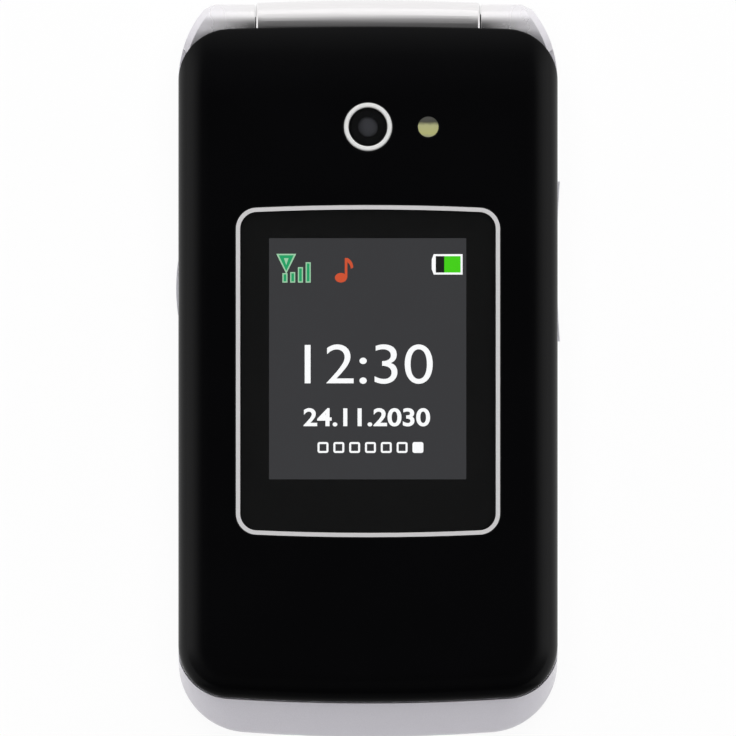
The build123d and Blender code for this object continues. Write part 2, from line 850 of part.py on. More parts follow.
with BuildPart() as antenna:
    antenna_height = board_z - back_wall - can_height - fixed_clearance
    with BuildSketch(Plane.XY.offset(back_wall)):
        with Locations((0, hinge_wall_y - fixed_clearance)):
            Rectangle(antenna_width, antenna_length, align=(Align.CENTER, Align.MAX))
    extrude(amount=antenna_height)
    # Hollowed carrier
    cell_pitch = (antenna_width - antenna_wall) / antenna_cells
    with BuildSketch(Plane.XY.offset(back_wall)):
        with Locations((0, hinge_wall_y - fixed_clearance - antenna_length / 2)):
            with GridLocations(cell_pitch, 0, antenna_cells, 1):
                Rectangle(cell_pitch - antenna_wall, antenna_length - 2 * antenna_wall)
    extrude(amount=antenna_height - antenna_wall, mode=Mode.SUBTRACT)

save(antenna, "antenna")

# ---------------------------------------------------------------- key outlines


def number_row_outline(row):
    """A row of number keys: a band that sags in the middle, with rounded ends."""
    half_x = number_pitch_x + number_width / 2
    centre_y = number_top_y - row * number_pitch_y
    top_y = centre_y + number_length / 2
    bottom_y = centre_y - number_length / 2
    with BuildSketch() as outline:
        with BuildLine():
            SagittaArc((-half_x, top_y), (half_x, top_y), -number_bow)
            Line((half_x, top_y), (half_x, bottom_y))
            SagittaArc((half_x, bottom_y), (-half_x, bottom_y), number_bow)
            Line((-half_x, bottom_y), (-half_x, top_y))
        make_face()
        fillet(outline.vertices(), number_corner)
    return outline.sketch


def number_outline(column, row):
    """A number key's outline: its own share of the row."""
    with BuildSketch() as outline:
        add(number_row_outline(row))
        with Locations(((column - 1) * number_pitch_x, number_top_y - row * number_pitch_y)):
            Rectangle(number_width, 2 * number_pitch_y, mode=Mode.INTERSECT)
    return outline.sketch


def function_outline(side, centre_y, length):
    """A soft or call key's outline, hollowed round the navigation ring."""
    width = function_outer_x - function_inner_x
    with BuildSketch() as outline:
        with Locations((side * (function_outer_x + function_inner_x) / 2, centre_y)):
            Rectangle(width, length)
        with Locations((0, nav_y)):
            Circle(nav_radius + nav_gap, mode=Mode.SUBTRACT)
        fillet(outline.vertices(), function_corner)
    return outline.sketch


def clear_outline():
    """The clear key's outline, under the navigation ring."""
    with BuildSketch() as outline:
        with Locations((0, clear_y)):
            RectangleRounded(clear_width, clear_length, function_corner)
    return outline.sketch


number_names = (
    ("key_1", "key_2", "key_3"),
    ("key_4", "key_5", "key_6"),
    ("key_7", "key_8", "key_9"),
    ("key_star", "key_0", "key_hash"),
)
key_outlines = {
    "soft_key_left": function_outline(-1, soft_y, soft_length),
    "soft_key_right": function_outline(1, soft_y, soft_length),
    "call_key": function_outline(-1, call_y, call_length),
    "end_key": function_outline(1, call_y, call_length),
    "clear_key": clear_outline(),
}
frame_openings = list(key_outlines.values())
for row, names in enumerate(number_names):
    frame_openings.append(number_row_outline(row))
    for column, name in enumerate(names):
        key_outlines[name] = number_outline(column, row)

# ---------------------------------------------------------------- base: keypad
with BuildPart() as keypad_frame:
    with BuildSketch(Plane.XY.offset(frame_z)):
        add(inset_plan(lid_plan, rim_width + fixed_clearance, hinge_wall_y - fixed_clearance))
    extrude(amount=frame_thickness)
    for outline in frame_openings:
        with BuildSketch(Plane.XY.offset(frame_z)):
            add(outline)
            offset(amount=key_gap)
        extrude(amount=frame_thickness, mode=Mode.SUBTRACT)
    with BuildSketch(Plane.XY.offset(frame_z)):
        with Locations((0, nav_y)):
            Circle(nav_radius + key_gap)
        with Locations((microphone_x, microphone_y)):
            Circle(microphone_hole)
    extrude(amount=frame_thickness, mode=Mode.SUBTRACT)
    # Blind holes for the base screws
    with BuildSketch(Plane.XY.offset(frame_z)):
        with Locations((0, base_screw_mid_y)):
            with GridLocations(base_screw_pitch_x, base_screw_pitch_y, 2, 2):
                Circle(screw_radius + screw_clearance)
    extrude(amount=screw_bite, mode=Mode.SUBTRACT)

save(keypad_frame, "keypad_frame")

for name, outline in key_outlines.items():
    with BuildPart() as key:
        with BuildSketch(Plane.XY.offset(key_z)):
            add(outline)
        extrude(amount=key_top_z - key_z)
        chamfer(key.edges().group_by(Axis.Z)[-1], key_chamfer)
    save(key, name)

with BuildPart() as navigation_ring:
    with BuildSketch(Plane.XY.offset(key_z)):
        with Locations((0, nav_y)):
            Circle(nav_radius)
            Circle(ring_bore_radius, mode=Mode.SUBTRACT)
    extrude(amount=key_top_z - key_z)
    chamfer(navigation_ring.edges().group_by(Axis.Z)[-1], key_chamfer)

save(navigation_ring, "navigation_ring")

with BuildPart() as ok_key:
    with BuildSketch(Plane.XY.offset(key_z)):
        with Locations((0, nav_y)):
            Circle(ok_radius)
    extrude(amount=key_top_z - key_z)
    chamfer(ok_key.edges().group_by(Axis.Z)[-1], 2 * key_chamfer)

save(ok_key, "ok_key")

with BuildPart() as keypad_mat:
    mat_width = 2 * (cavity_x - key_gap)
    mat_end_y = microphone_y + microphone_length / 2 + fixed_clearance
    mat_length = soft_y + soft_length / 2 + mat_rim - mat_end_y
    with BuildSketch(Plane.XY.offset(board_top_z)):
        with Locations((0, mat_end_y + mat_length / 2)):
            RectangleRounded(mat_width, mat_length, mat_corner)
    extrude(amount=dome_height + mat_thickness)
    # Room for the metal domes, inside a standing rim
    with BuildSketch(Plane.XY.offset(board_top_z)):
        with Locations((0, mat_end_y + mat_length / 2)):
            RectangleRounded(mat_width - 2 * mat_rim, mat_length - 2 * mat_rim, mat_corner - mat_rim)
    extrude(amount=dome_height, mode=Mode.SUBTRACT)

save(keypad_mat, "keypad_mat")

# ---------------------------------------------------------------- base: side keys
flange_inner_x = flange_x - side_flange_thickness
key_floor_z = side_key_z - side_key_height / 2

with BuildPart() as volume_rocker:
    with BuildSketch(Plane.XY.offset(key_floor_z)):
        proud_x = half_width + side_key_proud
        top_y = rocker_y + rocker_length / 2
        bottom_y = rocker_y - rocker_length / 2
        waist_top_y = rocker_y + waist_length / 2
        waist_bottom_y = rocker_y - waist_length / 2
        with BuildLine():
            Line((flange_inner_x, top_y), (proud_x, top_y))
            SagittaArc((proud_x, top_y), (half_width, waist_top_y), -rocker_waist)
            Line((half_width, waist_top_y), (half_width, waist_bottom_y))
            SagittaArc((half_width, waist_bottom_y), (proud_x, bottom_y), -rocker_waist)
            Polyline((proud_x, bottom_y), (flange_inner_x, bottom_y), (flange_inner_x, top_y))
        make_face()
    extrude(amount=side_key_height)
    # Tabs at the ends hold it in the wall, with room to rock
    with BuildSketch(Plane.XY.offset(key_floor_z)):
        with Locations((flange_inner_x, rocker_y)):
            Rectangle(
                side_flange_thickness / 2,
                rocker_length + 2 * side_key_flange,
                align=(Align.MIN, Align.CENTER),
            )
    extrude(amount=side_key_height)

save(volume_rocker, "volume_rocker")

with BuildPart() as side_key:
    with BuildSketch(Plane.XY.offset(key_floor_z)):
        top_y = side_key_y + side_key_length / 2
        bottom_y = side_key_y - side_key_length / 2
        with BuildLine():
            SagittaArc((-half_width, bottom_y), (-half_width, top_y), side_key_proud)
            Polyline(
                (-half_width, top_y),
                (-flange_inner_x, top_y),
                (-flange_inner_x, bottom_y),
                (-half_width, bottom_y),
            )
        make_face()
        with Locations((-flange_inner_x, side_key_y)):
            Rectangle(
                side_flange_thickness,
                side_key_length + 2 * side_key_flange,
                align=(Align.MAX, Align.CENTER),
            )
    extrude(amount=side_key_height)

save(side_key, "side_key")

with BuildPart() as side_switches:
    plunger_x = flange_inner_x - side_key_travel - fixed_clearance
    rocker_reach = rocker_length / 2 - switch_length
    switch_places = (
        (1, rocker_y - rocker_reach),
        (1, rocker_y + rocker_reach),
        (-1, side_key_y),
    )
    for side, switch_y in switch_places:
        with BuildSketch(Plane.XY.offset(slot_z)):
            with Locations((side * (cavity_x + switch_width / 2), switch_y)):
                Rectangle(switch_width, switch_length)
        extrude(amount=switch_height)
        with BuildSketch(Plane.YZ.offset(side * (cavity_x + switch_width))):
            with Locations((switch_y, slot_z + switch_height / 2)):
                Rectangle(plunger_width, plunger_width)
        extrude(amount=side * (plunger_x - cavity_x - switch_width))

save(side_switches, "side_switches")

with BuildPart() as base_screws:
    with BuildSketch(Plane.XY.offset(cover_split_z)):
        with Locations((0, base_screw_mid_y)):
            with GridLocations(base_screw_pitch_x, base_screw_pitch_y, 2, 2):
                Circle(screw_head_radius)
    extrude(amount=screw_head_height)
    with BuildSketch(Plane.XY.offset(cover_split_z)):
        with Locations((0, base_screw_mid_y)):
            with GridLocations(base_screw_pitch_x, base_screw_pitch_y, 2, 2):
                Circle(screw_radius)
    extrude(amount=frame_z + screw_bite - screw_clearance - cover_split_z)

save(base_screws, "base_screws")

# ---------------------------------------------------------------- hinge
cartridge_end_x = cartridge_length - barrel_half
web_x = barrel_half - end_web
chamber_x = cartridge_end_x + end_web
neck_z = lid_floor_z
flex_slot_z = hinge_z + flex_chamber_radius - 3 * flex_thickness
lid_flex_x = (chamber_x + web_x) / 2

with BuildPart() as hinge_barrel:
    add(hinge_rod(-barrel_half, barrel_half, barrel_radius))
    chamfer(hinge_barrel.edges(), barrel_chamfer)
    with BuildSketch(Plane.XY.offset(neck_z)):
        with Locations((0, hinge_y)):
            Rectangle(neck_width, neck_length, align=(Align.CENTER, Align.MAX))
    extrude(amount=neck_height)
    # Seat of the cartridge, chamber of the flex cable and bearing of the bush
    add(
        hinge_rod(
            -barrel_half,
            cartridge_end_x + fixed_clearance,
            cartridge_radius + fixed_clearance,
            cartridge_flat + fixed_clearance,
        ),
        mode=Mode.SUBTRACT,
    )
    add(hinge_rod(chamber_x, web_x, flex_chamber_radius), mode=Mode.SUBTRACT)
    add(hinge_rod(web_x, barrel_half, bush_radius + running_clearance), mode=Mode.SUBTRACT)
    # Way of the flex cable out through the neck
    with BuildSketch(Plane.XY.offset(flex_slot_z)):
        with Locations((lid_flex_x, hinge_y)):
            Rectangle(
                flex_width + 2 * knuckle_gap, neck_length, align=(Align.CENTER, Align.MAX)
            )
    extrude(amount=4 * flex_thickness, mode=Mode.SUBTRACT)

save(hinge_barrel, "hinge_barrel")

with BuildPart() as hinge_cartridge:
    add(hinge_rod(-barrel_half, cartridge_end_x, cartridge_radius, cartridge_flat))
    chamfer(hinge_cartridge.edges().group_by(Axis.X)[-1], cartridge_chamfer)
    add(
        hinge_rod(
            -barrel_half,
            journal_length - barrel_half + fixed_clearance,
            journal_radius + running_clearance,
        ),
        mode=Mode.SUBTRACT,
    )

save(hinge_cartridge, "hinge_cartridge")

with BuildPart() as hinge_shaft:
    shoulder_end_x = -barrel_half - knuckle_gap / 2
    add(
        hinge_rod(
            -ear_start - shaft_seat_depth + fixed_clearance, shoulder_end_x, shaft_radius, shaft_flat
        )
    )
    add(hinge_rod(shoulder_end_x, shoulder_end_x + journal_length, journal_radius))
    chamfer(hinge_shaft.edges().group_by(Axis.X)[-1], journal_chamfer)

save(hinge_shaft, "hinge_shaft")

with BuildPart() as hinge_bush:
    bush_end_x = ear_start + bush_seat_depth
    add(hinge_rod(bush_end_x - bush_length, bush_end_x, bush_radius))
    add(hinge_rod(bush_end_x - bush_length, bush_end_x, bush_bore), mode=Mode.SUBTRACT)

save(hinge_bush, "hinge_bush")

# ---------------------------------------------------------------- lid: outer form


def lid_air(raise_by):
    """The space above the lid's top: flat, then falling away towards the hinge."""
    top_z = lid_top_z + raise_by
    slope_y = lid_hinge_y - hinge_slope_length
    sky_z = lid_top_z + lid_thickness
    with BuildPart() as air:
        with BuildSketch(Plane.YZ.offset(-body_width)):
            with BuildLine():
                Line((-body_length, top_z), (slope_y, top_z))
                fall = TangentArc(
                    (slope_y, top_z), (lid_hinge_y, top_z - hinge_slope_drop), tangent=(1, 0)
                )
                fall_end = fall @ 1 + (fall % 1) * lid_edge_radius * 2
                Polyline(
                    fall @ 1,
                    fall_end,
                    (fall_end.X, sky_z),
                    (-body_length, sky_z),
                    (-body_length, top_z),
                )
            make_face()
        extrude(amount=2 * body_width)
    return air.part


with BuildPart() as lid_form:
    # The edge is rounded on a longer outline, which the hinge end then cuts short
    with BuildSketch(Plane.XY.offset(lid_z)):
        add(lid_outline(lid_hinge_y + lid_edge_radius))
    extrude(amount=lid_thickness + lid_overhang)
    add(lid_air(0), mode=Mode.SUBTRACT)
    middle_z = lid_z + lid_thickness / 2
    outer_edges = lid_form.edges().filter_by(lambda edge: edge.bounding_box().min.Z > middle_z)
    outer_edges = outer_edges.filter_by(
        lambda edge: edge.bounding_box().size.Y > fixed_clearance or abs(edge.center().Y) > hinge_y
    )
    fillet(outer_edges, lid_edge_radius)
    with BuildSketch(Plane.XY.offset(lid_z)):
        add(lid_plan)
    extrude(amount=lid_thickness + lid_overhang, mode=Mode.INTERSECT)

# ---------------------------------------------------------------- lid: outer cover
cavity_top_z = lid_board_z + lid_board_thickness + lid_board_room
panel_top_z = window_seat_z - window_floor - fixed_clearance
boss_z = lid_floor_z + screw_head_height
boss_radius = screw_radius + boss_wall
head_boss_radius = screw_head_radius + screw_clearance + boss_wall
ring_bottom_z = lid_top_z - ring_depth
camera_well = camera_base_size + 2 * screw_clearance
lens_floor_z = lid_board_z + lid_board_thickness + camera_base_height

with BuildSketch() as lid_bosses:
    with Locations((0, lid_screw_y)):
        with GridLocations(lid_screw_pitch_x, 0, 2, 1):
            Circle(boss_radius)

with BuildSketch() as lid_shanks:
    with Locations((0, lid_screw_y)):
        with GridLocations(lid_screw_pitch_x, 0, 2, 1):
            Circle(screw_radius + fixed_clearance)

with BuildPart() as lid_outer_cover:
    add(lid_form.part)
    with BuildSketch(Plane.XY.offset(lid_z)):
        Rectangle(2 * body_width, 2 * body_length)
    extrude(amount=inner_plate, mode=Mode.SUBTRACT)
    with BuildSketch(Plane.XY.offset(lid_split_z)):
        add(inset_plan(lid_plan, side_wall, hinge_wall_y))
    extrude(amount=cavity_top_z - lid_split_z, mode=Mode.SUBTRACT)
    with BuildSketch(Plane.XY.offset(boss_z)):
        add(lid_bosses.sketch)
    extrude(amount=cavity_top_z - boss_z)
    with BuildSketch(Plane.XY.offset(boss_z)):
        add(lid_shanks.sketch)
    extrude(amount=lid_screw_length, mode=Mode.SUBTRACT)
    # Hinge end: round the barrel and the ears, with a slot for the barrel's neck
    add(barrel_pocket, mode=Mode.SUBTRACT)
    add(ear_pockets[0], mode=Mode.SUBTRACT)
    add(ear_pockets[1], mode=Mode.SUBTRACT)
    with BuildSketch(Plane.XY.offset(lid_split_z)):
        with Locations((0, hinge_y)):
            Rectangle(
                neck_width + 2 * fixed_clearance,
                neck_length + fixed_clearance,
                align=(Align.CENTER, Align.MAX),
            )
    extrude(amount=neck_z + neck_height + fixed_clearance - lid_split_z, mode=Mode.SUBTRACT)
    # Outer display: seat of the window and the trim, view and well of the panel
    with BuildSketch(Plane.XY.offset(window_seat_z)):
        add(window_outline(-fixed_clearance))
    extrude(amount=lid_thickness, mode=Mode.SUBTRACT)
    with BuildSketch(Plane.XY.offset(cavity_top_z)):
        with Locations((0, outer_view_y)):
            Rectangle(view_width, view_length)
    extrude(amount=lid_thickness, mode=Mode.SUBTRACT)
    with BuildSketch(Plane.XY.offset(cavity_top_z)):
        with Locations((0, outer_view_y)):
            Rectangle(
                outer_panel_width + 2 * fixed_clearance, outer_panel_length + 2 * fixed_clearance
            )
    extrude(amount=window_seat_z - window_floor - cavity_top_z, mode=Mode.SUBTRACT)
    # Camera: well of the module, way of the lens barrel and seat of the ring
    with BuildSketch(Plane.XY.offset(cavity_top_z)):
        with Locations((0, camera_y)):
            Rectangle(camera_well, camera_well)
    extrude(amount=lens_floor_z + fixed_clearance - cavity_top_z, mode=Mode.SUBTRACT)
    with BuildSketch(Plane.XY.offset(cavity_top_z)):
        with Locations((0, camera_y)):
            Circle(camera_barrel_radius + screw_clearance)
        with Locations((flash_x, camera_y)):
            Circle(flash_radius + fixed_clearance)
    extrude(amount=lid_thickness, mode=Mode.SUBTRACT)
    with BuildSketch(Plane.XY.offset(ring_bottom_z)):
        with Locations((0, camera_y)):
            Circle(ring_radius + fixed_clearance)
    extrude(amount=lid_thickness, mode=Mode.SUBTRACT)

save(lid_outer_cover, "lid_outer_cover")

# ---------------------------------------------------------------- lid: outer display and camera
with BuildPart() as outer_window_trim:
    with BuildSketch(Plane.XY.offset(window_seat_z)):
        add(window_outline(0))
        add(window_outline(trim_width), mode=Mode.SUBTRACT)
    extrude(amount=lid_thickness)
    add(lid_air(trim_proud), mode=Mode.SUBTRACT)

save(outer_window_trim, "outer_window_trim")

with BuildPart() as outer_display_window:
    with BuildSketch(Plane.XY.offset(window_seat_z)):
        add(window_outline(trim_width + fixed_clearance))
    extrude(amount=lid_thickness)
    add(lid_air(0), mode=Mode.SUBTRACT)

save(outer_display_window, "outer_display_window")

with BuildPart() as outer_display_panel:
    outer_panel_z = lid_board_z + fixed_clearance
    with BuildSketch(Plane.XY.offset(outer_panel_z)):
        with Locations((0, outer_view_y)):
            Rectangle(outer_panel_width, outer_panel_length)
    extrude(amount=panel_top_z - outer_panel_z)
    chamfer(outer_display_panel.edges().filter_by(Axis.Z), trim_width)

save(outer_display_panel, "outer_display_panel")

camera_glass_top_z = lid_top_z + ring_proud - camera_glass_sink
camera_glass_z = camera_glass_top_z - camera_glass_thickness

with BuildPart() as camera_trim_ring:
    with BuildSketch(Plane.XY.offset(ring_bottom_z)):
        with Locations((0, camera_y)):
            Circle(ring_radius)
            Circle(camera_barrel_radius + screw_clearance, mode=Mode.SUBTRACT)
    extrude(amount=ring_depth + ring_proud)
    with BuildSketch(Plane.XY.offset(camera_glass_z)):
        with Locations((0, camera_y)):
            Circle(ring_radius - ring_width)
    extrude(amount=ring_depth, mode=Mode.SUBTRACT)
    chamfer(camera_trim_ring.edges().group_by(Axis.Z)[-1], ring_chamfer)

save(camera_trim_ring, "camera_trim_ring")

with BuildPart() as camera_window:
    with BuildSketch(Plane.XY.offset(camera_glass_z)):
        with Locations((0, camera_y)):
            Circle(ring_radius - ring_width - fixed_clearance)
    extrude(amount=camera_glass_thickness)

save(camera_window, "camera_window")

with BuildPart() as camera_module:
    camera_z = lid_board_z + lid_board_thickness
    with BuildSketch(Plane.XY.offset(camera_z)):
        with Locations((0, camera_y)):
            Rectangle(camera_base_size, camera_base_size)
    extrude(amount=camera_base_height)
    chamfer(camera_module.edges().filter_by(Axis.Z), ring_width)
    with BuildSketch(Plane.XY.offset(camera_z)):
        with Locations((0, camera_y)):
            Circle(camera_barrel_radius)
    extrude(amount=camera_glass_z - fixed_clearance - camera_z)
    # Stepped opening with the front lens element in it
    with BuildSketch(Plane.XY.offset(camera_glass_z - fixed_clearance)):
        with Locations((0, camera_y)):
            Circle(camera_pupil_radius)
    extrude(amount=-camera_glass_thickness, mode=Mode.SUBTRACT)
    lens_z = camera_glass_z - fixed_clearance - camera_glass_thickness
    with BuildSketch(Plane(origin=(0, camera_y, lens_z), x_dir=(1, 0, 0), z_dir=(0, -1, 0))):
        with BuildLine():
            TangentArc((0, lens_sagitta), (camera_pupil_radius, 0), tangent=(1, 0))
            Polyline((camera_pupil_radius, 0), (0, 0), (0, lens_sagitta))
        make_face()
    revolve(axis=Axis((0, camera_y, 0), (0, 0, 1)))

save(camera_module, "camera_module")

with BuildPart() as flash_lens:
    flash_z = camera_z + led_height + 2 * lid_board_room
    with BuildSketch(Plane.XY.offset(flash_z)):
        with Locations((flash_x, camera_y)):
            Circle(flash_radius)
    extrude(amount=lid_thickness)
    add(lid_air(0), mode=Mode.SUBTRACT)

save(flash_lens, "flash_lens")

# ---------------------------------------------------------------- lid: inner pieces
with BuildPart() as lid_inner_cover:
    with BuildSketch(Plane.XY.offset(lid_z)):
        add(lid_plan)
    extrude(amount=inner_plate)
    chamfer(lid_inner_cover.edges().group_by(Axis.Z)[0], inner_edge_chamfer)
    with BuildSketch(Plane.XY.offset(lid_split_z)):
        add(
            inset_plan(
                lid_plan, side_wall + fixed_clearance, hinge_wall_y - fixed_clearance
            )
        )
    extrude(amount=tongue_height)
    with BuildSketch(Plane.XY.offset(lid_split_z)):
        with Locations((0, lid_screw_y)):
            with GridLocations(lid_screw_pitch_x, 0, 2, 1):
                Circle(head_boss_radius)
    extrude(amount=boss_z - lid_split_z)
    add(barrel_pocket, mode=Mode.SUBTRACT)
    add(ear_pockets[0], mode=Mode.SUBTRACT)
    add(ear_pockets[1], mode=Mode.SUBTRACT)
    # Main display: seat of the window and the view through to the panel
    with BuildSketch(Plane.XY.offset(lid_z)):
        with Locations((0, inner_window_y)):
            RectangleRounded(
                inner_window_width + 2 * fixed_clearance,
                inner_window_length + 2 * fixed_clearance,
                inner_window_corner,
            )
    extrude(amount=inner_window_sink + inner_window_thickness, mode=Mode.SUBTRACT)
    with BuildSketch(Plane.XY.offset(lid_z)):
        with Locations((0, inner_window_y)):
            Rectangle(inner_view_width, inner_view_length)
    extrude(amount=inner_plate + tongue_height, mode=Mode.SUBTRACT)
    # Earpiece slot with the step for its mesh
    with BuildSketch(Plane.XY.offset(lid_z)):
        with Locations((0, earpiece_y)):
            SlotOverall(earpiece_slot_length, earpiece_slot_width)
    extrude(amount=inner_plate + tongue_height, mode=Mode.SUBTRACT)
    with BuildSketch(Plane.XY.offset(lid_floor_z)):
        with Locations((0, earpiece_y)):
            SlotOverall(
                earpiece_slot_length + 2 * trim_width, earpiece_slot_width + 2 * trim_width
            )
    extrude(amount=-mesh_thickness, mode=Mode.SUBTRACT)
    # Counterbored screw holes, which the bumpers plug
    with BuildSketch(Plane.XY.offset(lid_z)):
        with Locations((0, lid_screw_y)):
            with GridLocations(lid_screw_pitch_x, 0, 2, 1):
                Circle(screw_head_radius + screw_clearance)
    extrude(amount=bumper_depth + screw_head_height, mode=Mode.SUBTRACT)
    with BuildSketch(Plane.XY.offset(lid_z)):
        with Locations((0, lid_screw_y)):
            with GridLocations(lid_screw_pitch_x, 0, 2, 1):
                Circle(screw_radius + screw_clearance)
    extrude(amount=boss_z - lid_z, mode=Mode.SUBTRACT)

save(lid_inner_cover, "lid_inner_cover")

with BuildPart() as main_display_window:
    with BuildSketch(Plane.XY.offset(lid_z + inner_window_sink)):
        with Locations((0, inner_window_y)):
            RectangleRounded(
                inner_window_width, inner_window_length, inner_window_corner - fixed_clearance
            )
    extrude(amount=inner_window_thickness)

save(main_display_window, "main_display_window")

with BuildPart() as main_display_panel:
    with BuildSketch(Plane.XY.offset(main_panel_z)):
        with Locations((0, inner_window_y)):
            Rectangle(main_panel_width, main_panel_length)
    extrude(amount=main_panel_thickness)
    chamfer(main_display_panel.edges().filter_by(Axis.Z), trim_width)

save(main_display_panel, "main_display_panel")

with BuildPart() as lid_frame:
    frame_front_y = lid_screw_y + boss_radius + screw_clearance
    with BuildSketch(Plane.XY.offset(midframe_z)):
        add(
            inset_plan(
                lid_plan, side_wall + fixed_clearance, hinge_wall_y - fixed_clearance
            )
        )
        with Locations((0, frame_front_y)):
            Rectangle(
                2 * body_width, body_length, align=(Align.CENTER, Align.MAX), mode=Mode.SUBTRACT
            )
        # Gap for the flex cable's connector
        connector_y = lid_hinge_y - hinge_slope_length - connector_length
        with Locations((lid_flex_x, connector_y)):
            Rectangle(
                flex_width + 2 * connector_gap,
                connector_length + 2 * connector_gap,
                mode=Mode.SUBTRACT,
            )
    extrude(amount=midframe_thickness)

save(lid_frame, "lid_frame")

with BuildPart() as lid_board:
    board_start_y = outer_view_y + outer_panel_length / 2 + 2 * trim_width
    with BuildSketch(Plane.XY.offset(lid_board_z)):
        with Locations((0, board_start_y)):
            Rectangle(
                lid_board_width,
                hinge_wall_y - lid_board_setback - board_start_y,
                align=(Align.CENTER, Align.MIN),
            )
    extrude(amount=lid_board_thickness)
    # Flash LED
    with BuildSketch(Plane.XY.offset(camera_z)):
        with Locations((flash_x, camera_y)):
            Rectangle(led_size, led_size)
    extrude(amount=led_height)

save(lid_board, "lid_board")

with BuildPart() as earpiece_mesh:
    with BuildSketch(Plane.XY.offset(lid_floor_z - mesh_thickness)):
        with Locations((0, earpiece_y)):
            SlotOverall(
                earpiece_slot_length + 2 * (trim_width - fixed_clearance),
                earpiece_slot_width + 2 * (trim_width - fixed_clearance),
            )
    extrude(amount=mesh_thickness)

save(earpiece_mesh, "earpiece_mesh")

with BuildPart() as earpiece_speaker:
    with BuildSketch(Plane.XY.offset(lid_floor_z)):
        with Locations((0, earpiece_y)):
            RectangleRounded(earpiece_length, earpiece_width, earpiece_corner)
    extrude(amount=earpiece_height)
    chamfer(earpiece_speaker.edges().group_by(Axis.Z)[-1], mesh_thickness)

save(earpiece_speaker, "earpiece_speaker")

with BuildPart() as lid_magnet:
    with BuildSketch(Plane.XY.offset(lid_floor_z)):
        with Locations((magnet_x, magnet_y)):
            Rectangle(magnet_width, magnet_length)
    extrude(amount=magnet_height)

save(lid_magnet, "lid_magnet")

with BuildPart() as lid_bumpers:
    bumper_z = deck_z + bumper_gap
    with BuildSketch(Plane.XY.offset(bumper_z)):
        with Locations((0, lid_screw_y)):
            with GridLocations(lid_screw_pitch_x, 0, 2, 1):
                Circle(screw_head_radius + screw_clearance - fixed_clearance)
    extrude(amount=lid_z + bumper_depth - bumper_z)

save(lid_bumpers, "lid_bumpers")

with BuildPart() as lid_screws:
    head_z = lid_z + bumper_depth
    with BuildSketch(Plane.XY.offset(head_z)):
        with Locations((0, lid_screw_y)):
            with GridLocations(lid_screw_pitch_x, 0, 2, 1):
                Circle(screw_head_radius)
    extrude(amount=screw_head_height)
    with BuildSketch(Plane.XY.offset(head_z)):
        with Locations((0, lid_screw_y)):
            with GridLocations(lid_screw_pitch_x, 0, 2, 1):
                Circle(screw_radius)
    extrude(amount=boss_z + lid_screw_length - screw_clearance - head_z)

save(lid_screws, "lid_screws")

# ---------------------------------------------------------------- flex cable, lid and base ends
with BuildPart() as lid_flex_cable:
    coil_radius = flex_chamber_radius - 2 * flex_thickness
    strip_z = hinge_z + coil_radius - flex_thickness
    # Turn round the hinge axis, and the tail through the neck
    with BuildSketch(Plane.YZ.offset(lid_flex_x - flex_width / 2)):
        with Locations((hinge_y, hinge_z)):
            Circle(coil_radius)
            Circle(coil_radius - flex_thickness, mode=Mode.SUBTRACT)
        with Locations((hinge_y, strip_z)):
            Rectangle(
                hinge_y - connector_y, flex_thickness, align=(Align.MAX, Align.MIN)
            )
        with Locations((connector_y, strip_z)):
            Rectangle(
                connector_length, lid_board_z - strip_z, align=(Align.CENTER, Align.MIN)
            )
    extrude(amount=flex_width)

save(lid_flex_cable, "lid_flex_cable")

with BuildPart() as base_flex_cable:
    roll_radius = bush_bore - 2 * flex_thickness
    roll_start_x = bush_end_x - bush_length - end_web
    roll_end_x = bush_end_x + tail_width
    add(hinge_rod(roll_start_x, roll_end_x, roll_radius))
    add(hinge_rod(roll_start_x, roll_end_x, roll_radius - flex_thickness), mode=Mode.SUBTRACT)
    # Tail from the roll down to the board
    drop_y = hinge_wall_y + back_wall / 2
    tail_z = hinge_z - roll_radius + flex_thickness / 2
    foot_z = board_top_z + flex_thickness / 2
    with BuildSketch(Plane.YZ.offset(bush_end_x)):
        with BuildLine():
            Polyline(
                (hinge_y, tail_z),
                (drop_y, tail_z),
                (drop_y, foot_z),
                (hinge_wall_y - tail_width, foot_z),
            )
        trace(line_width=flex_thickness)
    extrude(amount=tail_width)

save(base_flex_cable, "base_flex_cable")
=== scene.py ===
import json
from math import atan2, cos, pi, radians, sin

import bmesh
import bpy
from mathutils import Matrix, Vector


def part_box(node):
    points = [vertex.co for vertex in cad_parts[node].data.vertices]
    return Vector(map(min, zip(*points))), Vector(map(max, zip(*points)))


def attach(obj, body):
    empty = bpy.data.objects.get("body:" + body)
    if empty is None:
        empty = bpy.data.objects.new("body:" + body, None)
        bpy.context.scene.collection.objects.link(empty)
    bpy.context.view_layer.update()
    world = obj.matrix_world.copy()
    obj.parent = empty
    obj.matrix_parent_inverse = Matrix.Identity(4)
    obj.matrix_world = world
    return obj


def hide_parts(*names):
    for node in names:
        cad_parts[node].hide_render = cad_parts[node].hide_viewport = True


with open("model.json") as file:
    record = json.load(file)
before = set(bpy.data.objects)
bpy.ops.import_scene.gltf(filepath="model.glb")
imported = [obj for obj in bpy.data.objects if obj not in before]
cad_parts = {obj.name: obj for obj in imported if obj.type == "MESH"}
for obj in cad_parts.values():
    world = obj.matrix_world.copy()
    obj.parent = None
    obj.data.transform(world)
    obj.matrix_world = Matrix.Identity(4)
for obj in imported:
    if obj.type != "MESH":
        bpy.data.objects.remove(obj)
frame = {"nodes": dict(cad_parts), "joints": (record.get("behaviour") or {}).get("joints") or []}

# Finish of a folding phone, seen closed from above its lid, with the hinge at the top.
# Sizes are millimetres unless a name says otherwise; MM turns them into the scene's metres.

MM = 0.001
scene = bpy.context.scene
nodes = frame["nodes"]
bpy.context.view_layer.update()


def box_mm(node):
    """Lowest and highest corner of a CAD node, in millimetres."""
    low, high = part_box(node)
    return low / MM, high / MM


